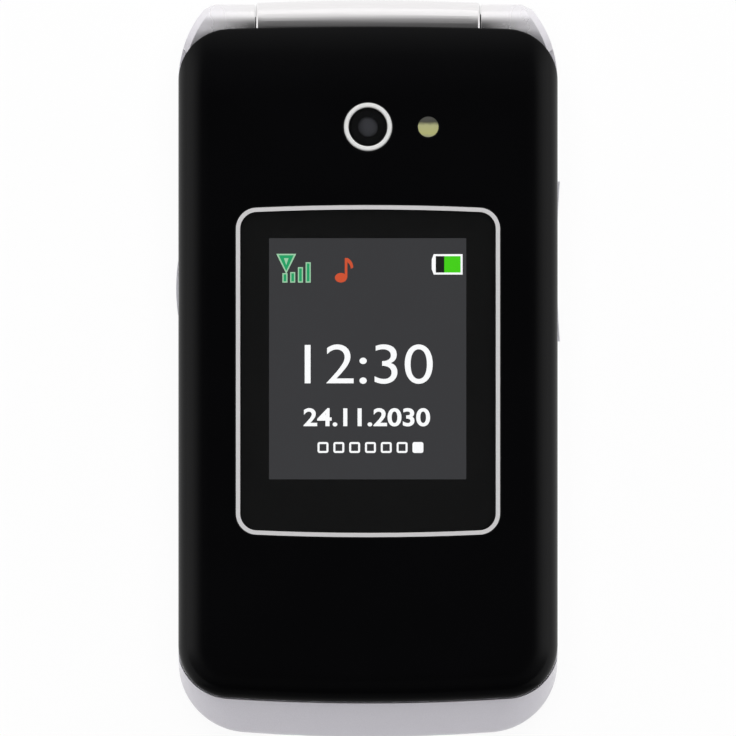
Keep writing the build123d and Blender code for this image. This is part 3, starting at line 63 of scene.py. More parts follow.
# ---------------------------------------------------------------- places taken from the frame
lid_high = box_mm("lid_outer_cover")[1]
window_low = box_mm("outer_display_window")[0]
panel_high = box_mm("outer_display_panel")[1]
ring_low, ring_high = box_mm("camera_trim_ring")
flash_low, flash_high = box_mm("flash_lens")
barrel_high = box_mm("hinge_barrel")[1]
battery_low, battery_high = box_mm("battery_pack")
nav_low, nav_high = box_mm("navigation_ring")

hinge_joint = next(joint for joint in frame["joints"] if joint["name"] == "lid_hinge")
hinge_y = hinge_joint["pos_m"][1] / MM
hinge_z = hinge_joint["pos_m"][2] / MM
camera_y = (ring_low.y + ring_high.y) / 2
camera_radius = (ring_high.x - ring_low.x) / 2
nav_y = (nav_low.y + nav_high.y) / 2

# ---------------------------------------------------------------- camera
IMAGE_WIDTH = 736  # pixels of the photo, across and down
PHOTO_SCALE = 7.033  # pixels per millimetre at the top of the lid
PHOTO_ROW = 368.75  # pixel row of the phone's origin
SENSOR = 36.0  # width of the camera's sensor
CAMERA_HEIGHT = 4000.0  # above the table


def make_camera():
    """A camera straight above the phone, far enough off to show hardly any perspective."""
    data = bpy.data.cameras.new("photo_camera")
    data.sensor_fit = "HORIZONTAL"
    data.sensor_width = SENSOR
    data.lens = SENSOR * PHOTO_SCALE / IMAGE_WIDTH * (CAMERA_HEIGHT - lid_high.z)
    camera = bpy.data.objects.new("photo_camera", data)
    centre_y = (PHOTO_ROW - IMAGE_WIDTH / 2) / PHOTO_SCALE
    camera.location = Vector((0, centre_y, CAMERA_HEIGHT)) * MM
    scene.collection.objects.link(camera)
    scene.camera = camera


# ---------------------------------------------------------------- light and floor
# Brightness of the studio by the cosine of the angle from straight up: a dark ceiling over
# white walls, so that what faces up stays dark and what leans over turns bright
STUDIO = ((0.0, 1.0), (0.44, 0.96), (0.67, 0.63), (0.89, 0.15), (1.0, 0.035))
# and by its Y, from 0 beyond the chin, where it is darkest, to 1 beyond the hinge
WALLS = (
    (0.0, 0.12), (0.3, 0.4), (0.48, 0.95), (0.62, 0.95),
    (0.74, 0.66), (0.84, 0.62), (0.93, 0.85), (1.0, 1.0),
)
STUDIO_LEVEL = 1.15
FLOOR_SIZE = 12.0  # metres
FLOOR_DROP = 0.1  # millimetres below the phone's flat underside, so that the two don't coincide
FLOOR_COLOUR = (0.92, 0.92, 0.92)
FLOOR_GLOW = 0.92  # share of the floor that stays white whatever falls on it
LAMPS = (
    # name, place in metres, size across and along in metres, watts
    ("soft_box_hinge", (0.0, 1.6, 0.5), (2.2, 0.45), 12.0),
    ("soft_box_top", (0.0, 0.25, 2.0), (1.2, 1.2), 24.0),
)

# Sockets of a Mix node that blends colours
MIX_SHARE, MIX_FIRST, MIX_SECOND, MIX_RESULT = 0, 6, 7, 2


def make_world():
    """The studio as a shaded world, which the camera itself doesn't see."""
    world = bpy.data.worlds.new("studio")
    scene.world = world
    world.use_nodes = True
    tree = world.node_tree
    direction = tree.nodes.new("ShaderNodeTexCoord")
    split = tree.nodes.new("ShaderNodeSeparateXYZ")
    studio = tree.nodes.new("ShaderNodeValToRGB")
    set_stops(studio, [(place, (level, level, level)) for place, level in STUDIO])
    tree.links.new(direction.outputs["Generated"], split.inputs[0])
    tree.links.new(split.outputs["Z"], studio.inputs["Fac"])
    side = tree.nodes.new("ShaderNodeMapRange")
    side.inputs["From Min"].default_value = -1.0
    tree.links.new(split.outputs["Y"], side.inputs["Value"])
    walls = tree.nodes.new("ShaderNodeValToRGB")
    set_stops(walls, [(place, (level, level, level)) for place, level in WALLS])
    tree.links.new(side.outputs[0], walls.inputs["Fac"])
    both = tree.nodes.new("ShaderNodeMix")
    both.data_type = "RGBA"
    both.blend_type = "MULTIPLY"
    both.inputs[MIX_SHARE].default_value = 1.0
    tree.links.new(studio.outputs["Color"], both.inputs[MIX_FIRST])
    tree.links.new(walls.outputs["Color"], both.inputs[MIX_SECOND])
    light = tree.nodes["Background"]
    tree.links.new(both.outputs[MIX_RESULT], light.inputs["Color"])
    light.inputs["Strength"].default_value = STUDIO_LEVEL
    # What the camera itself sees past the floor is plain white
    white = tree.nodes.new("ShaderNodeBackground")
    white.inputs["Color"].default_value = (1, 1, 1, 1)
    ray = tree.nodes.new("ShaderNodeLightPath")
    mix = tree.nodes.new("ShaderNodeMixShader")
    tree.links.new(ray.outputs["Is Camera Ray"], mix.inputs[0])
    tree.links.new(light.outputs[0], mix.inputs[1])
    tree.links.new(white.outputs[0], mix.inputs[2])
    tree.links.new(mix.outputs[0], tree.nodes["World Output"].inputs["Surface"])


def make_lamps():
    """A long soft box behind the hinge and one overhead. Gloss mirrors the studio, not them."""
    for name, place, size, watts in LAMPS:
        data = bpy.data.lights.new(name, "AREA")
        data.shape = "RECTANGLE"
        data.size, data.size_y = size
        data.energy = watts
        lamp = bpy.data.objects.new(name, data)
        lamp.visible_camera = False
        lamp.visible_glossy = False
        lamp.visible_transmission = False
        lamp.location = place
        lamp.rotation_euler = Vector(place).to_track_quat("Z", "Y").to_euler()
        scene.collection.objects.link(lamp)


def make_floor():
    """The white table top, which keeps a little of the phone's shadow."""
    material = bpy.data.materials.new("floor_white")
    material.use_nodes = True
    tree = material.node_tree
    tree.nodes.remove(tree.nodes["Principled BSDF"])
    paper = tree.nodes.new("ShaderNodeBsdfDiffuse")
    paper.inputs["Color"].default_value = (*FLOOR_COLOUR, 1)
    glow = tree.nodes.new("ShaderNodeEmission")
    ray = tree.nodes.new("ShaderNodeLightPath")
    seen = tree.nodes.new("ShaderNodeMath")
    seen.operation = "MAXIMUM"
    tree.links.new(ray.outputs["Is Camera Ray"], seen.inputs[0])
    tree.links.new(ray.outputs["Is Glossy Ray"], seen.inputs[1])
    through = tree.nodes.new("ShaderNodeMath")
    through.operation = "MAXIMUM"
    tree.links.new(seen.outputs[0], through.inputs[0])
    tree.links.new(ray.outputs["Is Transmission Ray"], through.inputs[1])
    share = tree.nodes.new("ShaderNodeMath")
    share.operation = "MULTIPLY"
    share.inputs[1].default_value = FLOOR_GLOW
    tree.links.new(through.outputs[0], share.inputs[0])
    mix = tree.nodes.new("ShaderNodeMixShader")
    tree.links.new(share.outputs[0], mix.inputs[0])
    tree.links.new(paper.outputs[0], mix.inputs[1])
    tree.links.new(glow.outputs[0], mix.inputs[2])
    # From below, the floor is clear, so that the underside can be seen
    side = tree.nodes.new("ShaderNodeNewGeometry")
    clear = tree.nodes.new("ShaderNodeBsdfTransparent")
    one_sided = tree.nodes.new("ShaderNodeMixShader")
    tree.links.new(side.outputs["Backfacing"], one_sided.inputs[0])
    tree.links.new(mix.outputs[0], one_sided.inputs[1])
    tree.links.new(clear.outputs[0], one_sided.inputs[2])
    tree.links.new(one_sided.outputs[0], tree.nodes["Material Output"].inputs["Surface"])

    half = FLOOR_SIZE / 2
    mesh = bpy.data.meshes.new("floor")
    drop = -FLOOR_DROP * MM
    corners = [(x, y, drop) for x, y in rectangle(-half, -half, half, half)]
    mesh.from_pydata(corners, [], [(0, 1, 2, 3)])
    mesh.materials.append(material)
    floor = bpy.data.objects.new("floor", mesh)
    scene.collection.objects.link(floor)


# ---------------------------------------------------------------- materials
BEVEL_SAMPLES = 6


def set_stops(ramp, stops):
    """Gives a colour ramp its stops, as (place, colour)."""
    elements = ramp.color_ramp.elements
    while len(elements) < len(stops):
        elements.new(1.0)
    for element, (place, colour) in zip(elements, stops):
        element.position = place
        element.color = (*colour, 1)


def scaled(colour, factor):
    return tuple(channel * factor for channel in colour)


class Finish:
    """A material of shader nodes whose patterns lie in the piece's own millimetres."""

    def __init__(self, name, colour, roughness, **sockets):
        self.material = bpy.data.materials.new(name)
        self.material.use_nodes = True
        self.tree = self.material.node_tree
        self.shader = self.tree.nodes["Principled BSDF"]
        self.colour = colour
        self.roughness = roughness
        self.shader.inputs["Base Color"].default_value = (*colour, 1)
        self.shader.inputs["Roughness"].default_value = roughness
        for words, value in sockets.items():
            socket = words.replace("_", " ").title().replace("Ior", "IOR")
            self.shader.inputs[socket].default_value = value
        place = self.add("ShaderNodeTexCoord")
        scale = self.add("ShaderNodeVectorMath")
        scale.operation = "SCALE"
        scale.inputs["Scale"].default_value = 1 / MM
        self.link(place.outputs["Object"], scale.inputs[0])
        self.place = scale.outputs[0]
        facing = self.add("ShaderNodeSeparateXYZ")
        self.link(place.outputs["Normal"], facing.inputs[0])
        self.facing = facing.outputs

    def add(self, kind):
        return self.tree.nodes.new(kind)

    def link(self, output, socket):
        self.tree.links.new(output, socket)

    def math(self, operation, first, second=None):
        node = self.add("ShaderNodeMath")
        node.operation = operation
        for socket, value in zip(node.inputs, (first, second)):
            if isinstance(value, (int, float)):
                socket.default_value = value
            elif value is not None:
                self.link(value, socket)
        return node.outputs[0]

    def axis(self, name):
        """One coordinate of the piece, in millimetres."""
        split = self.add("ShaderNodeSeparateXYZ")
        self.link(self.place, split.inputs[0])
        return split.outputs[name]

    def radius(self, first, centre_first, second, centre_second):
        """Distance from an axis, in millimetres, across the two named coordinates."""
        across = self.math("SUBTRACT", self.axis(first), centre_first)
        along = self.math("SUBTRACT", self.axis(second), centre_second)
        squares = self.math(
            "ADD", self.math("MULTIPLY", across, across), self.math("MULTIPLY", along, along)
        )
        return self.math("SQRT", squares)

    def noise(self, size, detail, stretch=(1, 1, 1)):
        """Noise with features of about this size, drawn out along the axes by stretch."""
        place = self.add("ShaderNodeVectorMath")
        place.operation = "DIVIDE"
        place.inputs[1].default_value = [size * factor for factor in stretch]
        self.link(self.place, place.inputs[0])
        return self.noise_at(place.outputs[0], detail)

    def noise_along(self, value, size):
        """Noise that varies along one value only, as the grooves of turned metal do."""
        place = self.add("ShaderNodeCombineXYZ")
        self.link(self.math("DIVIDE", value, size), place.inputs[0])
        return self.noise_at(place.outputs[0], detail=2.0)

    def noise_at(self, place, detail):
        texture = self.add("ShaderNodeTexNoise")
        texture.inputs["Scale"].default_value = 1.0
        texture.inputs["Detail"].default_value = detail
        self.link(place, texture.inputs["Vector"])
        return texture.outputs["Fac"]

    def remap(self, value, low, high, start=0.0, end=1.0):
        """Goes from low to high while a value goes from start to end."""
        node = self.add("ShaderNodeMapRange")
        self.link(value, node.inputs["Value"])
        node.inputs["From Min"].default_value = start
        node.inputs["From Max"].default_value = end
        node.inputs["To Min"].default_value = low
        node.inputs["To Max"].default_value = high
        return node.outputs[0]

    def ramp(self, value, stops):
        node = self.add("ShaderNodeValToRGB")
        set_stops(node, stops)
        self.link(value, node.inputs["Fac"])
        return node.outputs["Color"]

    def mix(self, factor, first, second):
        """Blend of two colours, each an output or a plain colour."""
        node = self.add("ShaderNodeMix")
        node.data_type = "RGBA"
        self.link(factor, node.inputs[MIX_SHARE])
        for index, value in ((MIX_FIRST, first), (MIX_SECOND, second)):
            if isinstance(value, tuple):
                node.inputs[index].default_value = (*value, 1)
            else:
                self.link(value, node.inputs[index])
        return node.outputs[MIX_RESULT]

    def tone(self, value, spread):
        """The colour, drifting by this share either way with a noise's usual range."""
        darker, lighter = scaled(self.colour, 1 - spread), scaled(self.colour, 1 + spread)
        return self.ramp(value, [(0.3, darker), (0.7, lighter)])

    def paint(self, colour):
        self.link(colour, self.shader.inputs["Base Color"])

    def gloss(self, value, spread):
        """Roughness that drifts by this much either way with a value."""
        low, high = self.roughness - spread, self.roughness + spread
        self.link(self.remap(value, low, high), self.shader.inputs["Roughness"])

    def relief(self, height, depth, strength=1.0, edge=0.0):
        """Bump, with the depth in millimetres, over edges eased to this radius."""
        bump = self.add("ShaderNodeBump")
        if edge:
            bevel = self.add("ShaderNodeBevel")
            bevel.samples = BEVEL_SAMPLES
            bevel.inputs["Radius"].default_value = edge * MM
            self.link(bevel.outputs[0], bump.inputs["Normal"])
        bump.inputs["Distance"].default_value = depth * MM
        bump.inputs["Strength"].default_value = strength
        self.link(height, bump.inputs["Height"])
        self.link(bump.outputs[0], self.shader.inputs["Normal"])


def plain_finish(name, colour, roughness, grain, depth, **sockets):
    """A moulded or sheet material: drifting tone, uneven gloss and a fine grain."""
    finish = Finish(name, colour, roughness, **sockets)
    finish.paint(finish.tone(finish.noise(9.0, detail=3.0), spread=0.12))
    finish.gloss(finish.noise(4.0, detail=3.0), spread=0.15 * roughness)
    finish.relief(finish.noise(grain, detail=3.0), depth)
    return finish.material


PAINT_METAL = 0.22  # share of the paint that mirrors as metal does


def silver_paint(name, colour):
    """Metallic paint, as a Finish: flakes that sparkle in tone and tilt, under a soft coat."""
    finish = Finish(
        name, colour, 0.34, metallic=PAINT_METAL, coat_weight=0.35, coat_roughness=0.12
    )
    flake = finish.noise(0.09, detail=1.0)
    drift = finish.noise(14.0, detail=2.0)
    flakes = finish.tone(flake, spread=0.07)
    finish.paint(finish.mix(finish.remap(drift, 0.0, 0.35), flakes, scaled(colour, 0.96)))
    finish.gloss(finish.noise(2.5, detail=3.0), spread=0.03)
    finish.relief(flake, depth=0.0012, strength=0.6, edge=0.12)
    return finish


BRIGHT_METAL = (0.88, 0.865, 0.87)
SEAM_PAINTED_SHADE = (0.02, 0.02, 0.02)  # painted shade on the faces inside the seams of the hinge
SEAM_REACH = 0.6  # how far past the barrel's ends the seams' faces may lie
END_FACING = 0.9  # a face looks along the hinge if its normal leans that way by more
EAR_RADIUS = 3.6  # of the ears' round, about the hinge's axis
EAR_MARGIN = 0.05
EAR_FADE = (16.5, 25.5)  # from the middle, where the ears' plating starts and stops fading
EAR_REST = 0.2  # share of the plating that is left at the outer corners
EAR_POLISH = 0.14  # how much smoother the plating is than the paint


def faces_along_hinge(finish):
    """1 where a face looks along the hinge, and 0 elsewhere."""
    return finish.math("GREATER_THAN", finish.math("ABSOLUTE", finish.facing["X"]), END_FACING)


def bright_metal(name):
    """Satin plating of the hinge barrel, with hairs that run along it, and painted shade on its
    end faces inside the seams.
    """
    finish = Finish(name, BRIGHT_METAL, 0.2, metallic=1.0)
    hairs = finish.noise(0.07, detail=3.0, stretch=(40, 1, 1))
    seam_shade_ends = faces_along_hinge(finish)
    # painted shade: the barrel's end faces inside the seams are painted dark
    finish.paint(finish.mix(seam_shade_ends, finish.tone(hairs, spread=0.03), SEAM_PAINTED_SHADE))
    finish.gloss(finish.noise(2.0, detail=3.0), spread=0.03)
    finish.relief(hairs, depth=0.0006, strength=0.5)
    return finish.material


def housing_paint():
    """The rear housing's silver paint, plated like the barrel on the ears of the hinge, with
    painted shade on the ears' end faces inside the seams.
    """
    finish = silver_paint("silver_paint", (0.665, 0.645, 0.70))
    ear_radius = finish.radius("Y", hinge_y, "Z", hinge_z)
    ear = finish.math("LESS_THAN", ear_radius, EAR_RADIUS + EAR_MARGIN)
    across = finish.math("ABSOLUTE", finish.axis("X"))
    ear = finish.math("MULTIPLY", ear, finish.remap(across, 1.0, EAR_REST, *EAR_FADE))
    # painted shade: the ears' end faces inside the seams, next to the barrel, are painted dark
    seam_shade_inner = finish.math(
        "MULTIPLY",
        finish.math("LESS_THAN", across, barrel_high.x + SEAM_REACH),
        faces_along_hinge(finish),
    )
    seam_shade_inner = finish.math("MULTIPLY", seam_shade_inner, ear)
    paint = finish.shader.inputs["Base Color"].links[0].from_socket
    plated = finish.mix(ear, paint, BRIGHT_METAL)
    finish.paint(finish.mix(seam_shade_inner, plated, SEAM_PAINTED_SHADE))
    finish.link(finish.remap(ear, PAINT_METAL, 1.0), finish.shader.inputs["Metallic"])
    smooth = finish.shader.inputs["Roughness"].links[0].from_socket
    rough = finish.math("SUBTRACT", smooth, finish.math("MULTIPLY", ear, EAR_POLISH))
    finish.link(rough, finish.shader.inputs["Roughness"])
    return finish.material


LACQUER_LEVEL = 0.175  # specular level of the lacquer, before the edges' shares


def black_lacquer():
    """The lid's deep black lacquer, with the faint orange peel of sprayed gloss."""
    finish = Finish("lid_black", (0.0014, 0.0014, 0.0017), 0.16)
    finish.paint(finish.tone(finish.noise(20.0, detail=2.0), spread=0.12))
    finish.gloss(finish.noise(3.0, detail=4.0), spread=0.03)
    finish.relief(finish.noise(1.1, detail=1.0), depth=0.0015, strength=0.5, edge=0.4)
    # Its gloss falls off over the edges, most of all over the free end's
    over_edge = finish.remap(finish.facing["Z"], 0.15, 0.92, start=0.25, end=0.75)
    over_end = finish.remap(finish.facing["Y"], 0.06, 1.0, start=-0.7, end=-0.1)
    level = finish.math("MULTIPLY", finish.math("MULTIPLY", over_edge, over_end), LACQUER_LEVEL)
    finish.link(level, finish.shader.inputs["Specular IOR Level"])
    return finish.material


def clear_glass(name, tint):
    """Hard-coated acrylic with the faintest unevenness in its polish."""
    finish = Finish(name, tint, 0.03, transmission_weight=1.0, ior=1.46)
    finish.paint(finish.tone(finish.noise(12.0, detail=2.0), spread=0.015))
    finish.gloss(finish.noise(1.5, detail=4.0), spread=0.012)
    return finish.material


def satin_trim(name, colour):
    """Satin plated trim with fine cross scratches."""
    finish = Finish(name, colour, 0.3, metallic=0.15, specular_ior_level=0.6)
    fine = finish.noise(0.12, detail=3.0, stretch=(6, 1, 1))
    finish.paint(finish.tone(fine, spread=0.03))
    finish.gloss(finish.noise(0.8, detail=3.0), spread=0.05)
    finish.relief(fine, depth=0.0015, strength=0.5)
    return finish.material


def camera_ring():
    """The camera's trim ring: satin, with painted shade darkening its inner and outer edges."""
    bright = (0.80, 0.80, 0.79)
    finish = Finish("bright_ring", bright, 0.3, metallic=0.15, specular_ior_level=0.6)
    share = finish.math("DIVIDE", finish.radius("X", 0.0, "Y", camera_y), camera_radius)
    # painted shade: the ring is painted darker towards its inner and outer edges
    stops = [
        (0.785, scaled(bright, 0.12)),
        (0.825, bright),
        (0.955, bright),
        (1.0, scaled(bright, 0.45)),
    ]
    finish.paint(finish.ramp(share, stops))
    finish.gloss(finish.noise(0.8, detail=3.0), spread=0.05)
    finish.relief(finish.noise(0.12, detail=3.0), depth=0.0015, strength=0.5)
    return finish.material


def turned_metal(name, colour, roughness, first, centre_first, second, centre_second):
    """Metal turned about an axis: fine grooves in rings."""
    finish = Finish(name, colour, roughness, metallic=1.0)
    radius = finish.radius(first, centre_first, second, centre_second)
    grooves = finish.noise_along(radius, 0.06)
    finish.paint(finish.tone(grooves, spread=0.08))
    finish.gloss(finish.noise(1.5, detail=3.0), spread=0.05)
    finish.relief(grooves, depth=0.002, strength=0.6)
    return finish.material


def brushed_metal(name, colour, roughness, stretch):
    """Metal with fine hairs, drawn out along the axes by stretch."""
    finish = Finish(name, colour, roughness, metallic=1.0)
    hairs = finish.noise(0.06, detail=3.0, stretch=stretch)
    finish.paint(finish.tone(hairs, spread=0.1))
    finish.gloss(finish.noise(2.0, detail=3.0), spread=0.06)
    finish.relief(hairs, depth=0.002, strength=0.5)
    return finish.material


PUPIL_RADIUS = 1.53  # of the camera's lens


def camera_black():
    """The camera module: matt black, with the grey coated lens in its middle."""
    finish = Finish("camera_module_black", (0.004, 0.004, 0.004), 0.45, specular_ior_level=0.4)
    radius = finish.radius("X", 0.0, "Y", camera_y)
    edge = PUPIL_RADIUS / camera_radius
    lens = [
        (0.0, (0.30, 0.30, 0.32)),
        (edge * 0.86, (0.25, 0.25, 0.265)),
        (edge, (0.008, 0.008, 0.008)),
        (1.0, (0.004, 0.004, 0.004)),
    ]
    finish.paint(finish.ramp(finish.math("DIVIDE", radius, camera_radius), lens))
    finish.gloss(finish.noise(0.6, detail=3.0), spread=0.08)
    finish.relief(finish.noise(0.15, detail=2.0), depth=0.002, strength=0.4)
    return finish.material


def flash_yellow():
    """The flash's lens: phosphor yellow through a frosted face, with painted shade darkening its
    upper third.
    """
    finish = Finish("flash_lens_yellow", (0.38, 0.37, 0.16), 0.32, coat_weight=0.6)
    height = finish.remap(finish.axis("Y"), 0.0, 1.0, flash_low.y, flash_high.y)
    wavy = finish.math("ADD", height, finish.remap(finish.noise(0.7, detail=2.0), -0.06, 0.06))
    # painted shade: the lens's upper third is painted dark
    stops = [
        (0.0, (0.29, 0.29, 0.19)),
        (0.16, (0.42, 0.42, 0.17)),
        (0.58, (0.40, 0.40, 0.20)),
        (0.74, (0.06, 0.06, 0.045)),
        (1.0, (0.07, 0.07, 0.065)),
    ]
    finish.paint(finish.ramp(wavy, stops))
    finish.gloss(finish.noise(0.5, detail=3.0), spread=0.06)
    finish.relief(finish.noise(0.2, detail=2.0), depth=0.004, strength=0.5)
    return finish.material


def circuit_board():
    """Solder resist with the tracks showing through as raised, lighter lines."""
    finish = Finish("board_green", (0.015, 0.09, 0.045), 0.38)
    tracks = finish.add("ShaderNodeTexBrick")
    tracks.inputs["Scale"].default_value = 1.0
    tracks.inputs["Brick Width"].default_value = 3.2
    tracks.inputs["Row Height"].default_value = 0.9
    tracks.inputs["Mortar Size"].default_value = 0.09
    tracks.inputs["Mortar Smooth"].default_value = 0.3
    finish.link(finish.place, tracks.inputs["Vector"])
    base = finish.tone(finish.noise(6.0, detail=3.0), spread=0.15)
    finish.paint(finish.mix(tracks.outputs["Fac"], base, (0.03, 0.16, 0.08)))
    finish.gloss(finish.noise(1.5, detail=2.0), spread=0.06)
    finish.relief(tracks.outputs["Fac"], depth=0.02, strength=0.5)
    return finish.material


def flex_film():
    """Amber film over parallel copper tracks."""
    finish = Finish("flex_amber", (0.40, 0.17, 0.035), 0.34)
    wave = finish.add("ShaderNodeTexWave")
    wave.inputs["Scale"].default_value = 0.55
    wave.inputs["Distortion"].default_value = 0.0
    finish.link(finish.place, wave.inputs["Vector"])
    finish.paint(finish.mix(wave.outputs["Fac"], (0.40, 0.17, 0.035), (0.28, 0.10, 0.02)))
    finish.gloss(finish.noise(1.0, detail=2.0), spread=0.05)
    finish.relief(wave.outputs["Fac"], depth=0.01, strength=0.4)
    return finish.material


def battery_wrap():
    """Dark wrap with a plain lighter field inside its edge."""
    finish = Finish("battery_wrap", (0.035, 0.036, 0.04), 0.42)
    border = 2.5
    half_x = (battery_high.x - battery_low.x) / 2 - border
    half_y = (battery_high.y - battery_low.y) / 2 - border
    middle_y = (battery_high.y + battery_low.y) / 2
    across = finish.math("ABSOLUTE", finish.axis("X"))
    along = finish.math("ABSOLUTE", finish.math("SUBTRACT", finish.axis("Y"), middle_y))
    inside = finish.math(
        "MULTIPLY",
        finish.math("LESS_THAN", across, half_x),
        finish.math("LESS_THAN", along, half_y),
    )
    base = finish.tone(finish.noise(8.0, detail=3.0), spread=0.12)
    finish.paint(finish.mix(inside, base, (0.075, 0.078, 0.085)))
    finish.gloss(finish.noise(2.0, detail=3.0), spread=0.06)
    finish.relief(finish.noise(0.3, detail=2.0), depth=0.004, strength=0.4)
    return finish.material


PIXEL = 0.22  # width of the display's pixels
LIT_STRENGTH = 1.12  # makes up for the light that the window's two faces take


def glowing(name, colour):
    """A lit part of the display, with the faint grid of its pixels."""
    black = (0.002, 0.002, 0.002)
    finish = Finish(name, black, 0.4, emission_strength=LIT_STRENGTH, specular_ior_level=0.0)
    columns = finish.math("PINGPONG", finish.axis("X"), PIXEL / 2)
    rows = finish.math("PINGPONG", finish.axis("Y"), PIXEL / 2)
    grid = finish.math("MINIMUM", columns, rows)
    share = finish.remap(grid, 0.93, 1.03, start=0.0, end=PIXEL / 4)
    stops = [(0.0, scaled(colour, 0.9)), (1.0, colour)]
    lit = finish.ramp(share, stops)
    finish.link(lit, finish.shader.inputs["Emission Color"])
    return finish.material


def ink(name, colour):
    """Printed legend, slightly uneven in its cover."""
    finish = Finish(name, colour, 0.5)
    finish.paint(finish.tone(finish.noise(0.4, detail=3.0), spread=0.05))
    finish.gloss(finish.noise(0.5, detail=2.0), spread=0.05)
    return finish.material


NUMBER_KEYS = {
    "key_1": "1", "key_2": "2", "key_3": "3",
    "key_4": "4", "key_5": "5", "key_6": "6",
    "key_7": "7", "key_8": "8", "key_9": "9",
    "key_star": "*", "key_0": "0", "key_hash": "#",
}
FUNCTION_KEYS = ("soft_key_left", "soft_key_right", "call_key", "end_key", "clear_key")


def dress_nodes():
    """Gives every CAD node its finish, and returns the barrel's."""
    metal = bright_metal("barrel_metal")
    cover = silver_paint("cover_paint", (0.64, 0.62, 0.675)).material
    side = silver_paint("side_key_paint", (0.62, 0.62, 0.66)).material
    inner = plain_finish(
        "inner_black", (0.011, 0.011, 0.012), 0.38, grain=0.14, depth=0.004,
        specular_ior_level=0.3,
    )
    keys = plain_finish(
        "key_black", (0.022, 0.022, 0.024), 0.32, grain=0.2, depth=0.0015,
        specular_ior_level=0.25,
    )
    glass = clear_glass("clear_acrylic", (0.93, 0.94, 0.95))
    lens_glass = clear_glass("camera_glass", (0.86, 0.87, 0.9))
    trim = satin_trim("bright_trim", (0.63, 0.62, 0.625))
    panel = plain_finish("display_module", (0.008, 0.008, 0.009), 0.3, grain=0.3, depth=0.001)
    matt = plain_finish("module_black", (0.014, 0.014, 0.015), 0.6, grain=0.12, depth=0.005)
    sheet = brushed_metal("tinned_sheet", (0.62, 0.62, 0.6), 0.36, (12, 1, 1))
    steel = turned_metal("turned_steel", (0.5, 0.5, 0.51), 0.3, "Y", hinge_y, "Z", hinge_z)
    screw = brushed_metal("screw_steel", (0.16, 0.16, 0.17), 0.34, (1, 1, 8))
    nav = turned_metal("ring_metal", (0.6, 0.6, 0.63), 0.3, "X", 0.0, "Y", nav_y)
    acetal = plain_finish("black_acetal", (0.03, 0.03, 0.031), 0.5, grain=0.2, depth=0.003)
    rubber = plain_finish("soft_rubber", (0.035, 0.035, 0.037), 0.8, grain=0.1, depth=0.008)
    board = circuit_board()
    film = flex_film()

    finishes = {
        housing_paint(): ("rear_housing",),
        metal: ("hinge_barrel",),
        cover: ("battery_cover",),
        side: ("volume_rocker", "side_key"),
        black_lacquer(): ("lid_outer_cover",),
        inner: ("lid_inner_cover", "keypad_frame"),
        keys: (*NUMBER_KEYS, *FUNCTION_KEYS, "ok_key"),
        glass: ("outer_display_window", "main_display_window"),
        lens_glass: ("camera_window",),
        trim: ("outer_window_trim",),
        camera_ring(): ("camera_trim_ring",),
        panel: ("outer_display_panel", "main_display_panel"),
        camera_black(): ("camera_module",),
        flash_yellow(): ("flash_lens",),
        matt: ("loudspeaker", "earpiece_speaker"),
        nav: ("navigation_ring",),
        board: ("main_board", "lid_board"),
        sheet: (
            "shield_cans", "sim_card_holder", "lid_frame", "charge_port",
            "vibration_motor", "earpiece_mesh", "lid_magnet", "side_switches",
        ),
        steel: ("hinge_cartridge", "hinge_shaft"),
        screw: ("base_screws", "lid_screws"),
        acetal: ("hinge_bush", "battery_contacts", "antenna"),
        rubber: ("keypad_mat", "lid_bumpers"),
        battery_wrap(): ("battery_pack",),
        film: ("lid_flex_cable", "base_flex_cable"),
    }
    for material, names in finishes.items():
        for name in names:
            slots = nodes[name].material_slots
            for slot in slots:
                slot.material = material
            if not slots:
                raise ValueError(f"{name} has no material slot")
    return metal


# ---------------------------------------------------------------- flat prints
SAME_POINT = 1e-7  # metres
DISC_STEPS = 32
CORNER_STEPS = 6


def rectangle(low_x, low_y, high_x, high_y):
    return [(low_x, low_y), (high_x, low_y), (high_x, high_y), (low_x, high_y)]


def arc(centre, radius, start, end, steps):
    """Points on an arc, with angles in degrees."""
    points = []
    for step in range(steps + 1):
        angle = radians(start + (end - start) * step / steps)
        points.append((centre[0] + radius * cos(angle), centre[1] + radius * sin(angle)))
    return points


def disc(centre, radius):
    return arc(centre, radius, 0, 360, DISC_STEPS)[:-1]


def rounded(low_x, low_y, high_x, high_y, radius):
    """A rectangle with rounded corners."""
    points = []
    corners = (
        (high_x - radius, high_y - radius, 0),
        (low_x + radius, high_y - radius, 90),
        (low_x + radius, low_y + radius, 180),
        (high_x - radius, low_y + radius, 270),
    )
    for x, y, start in corners:
        points += arc((x, y), radius, start, start + 90, CORNER_STEPS)
    return points


def add_piece(name, mesh, material, body):
    """Makes a mesh a piece of this material that rides on a body."""
    mesh.name = name
    mesh.materials.clear()
    mesh.materials.append(material)
    piece = bpy.data.objects.new(name, mesh)
    scene.collection.objects.link(piece)
    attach(piece, body)


def mesh_of(name, curve):
    """The mesh that a curve or a text gives."""
    holder = bpy.data.objects.new(name + "_outline", curve)
    scene.collection.objects.link(holder)
    bpy.context.view_layer.update()
    graph = bpy.context.evaluated_depsgraph_get()
    mesh = bpy.data.meshes.new_from_object(holder.evaluated_get(graph))
    bpy.data.objects.remove(holder)
    return mesh


def flat_piece(name, outlines, bottom, thickness, material, body, slot):
    """A thin flat piece from closed outlines, of which inner ones are holes."""
    curve = bpy.data.curves.new(name, "CURVE")
    curve.dimensions = "2D"
    curve.fill_mode = "BOTH"
    curve.extrude = thickness / 2 * MM
    for outline in outlines:
        spline = curve.splines.new("POLY")
        spline.points.add(len(outline) - 1)
        for point, (x, y) in zip(spline.points, outline):
            point.co = (x * MM, y * MM, 0, 1)
        spline.use_cyclic_u = True
    mesh = mesh_of(name, curve)
    mesh.transform(Matrix.Translation((0, 0, (bottom + thickness / 2) * MM)))
    add_piece(name, mesh, material, body)


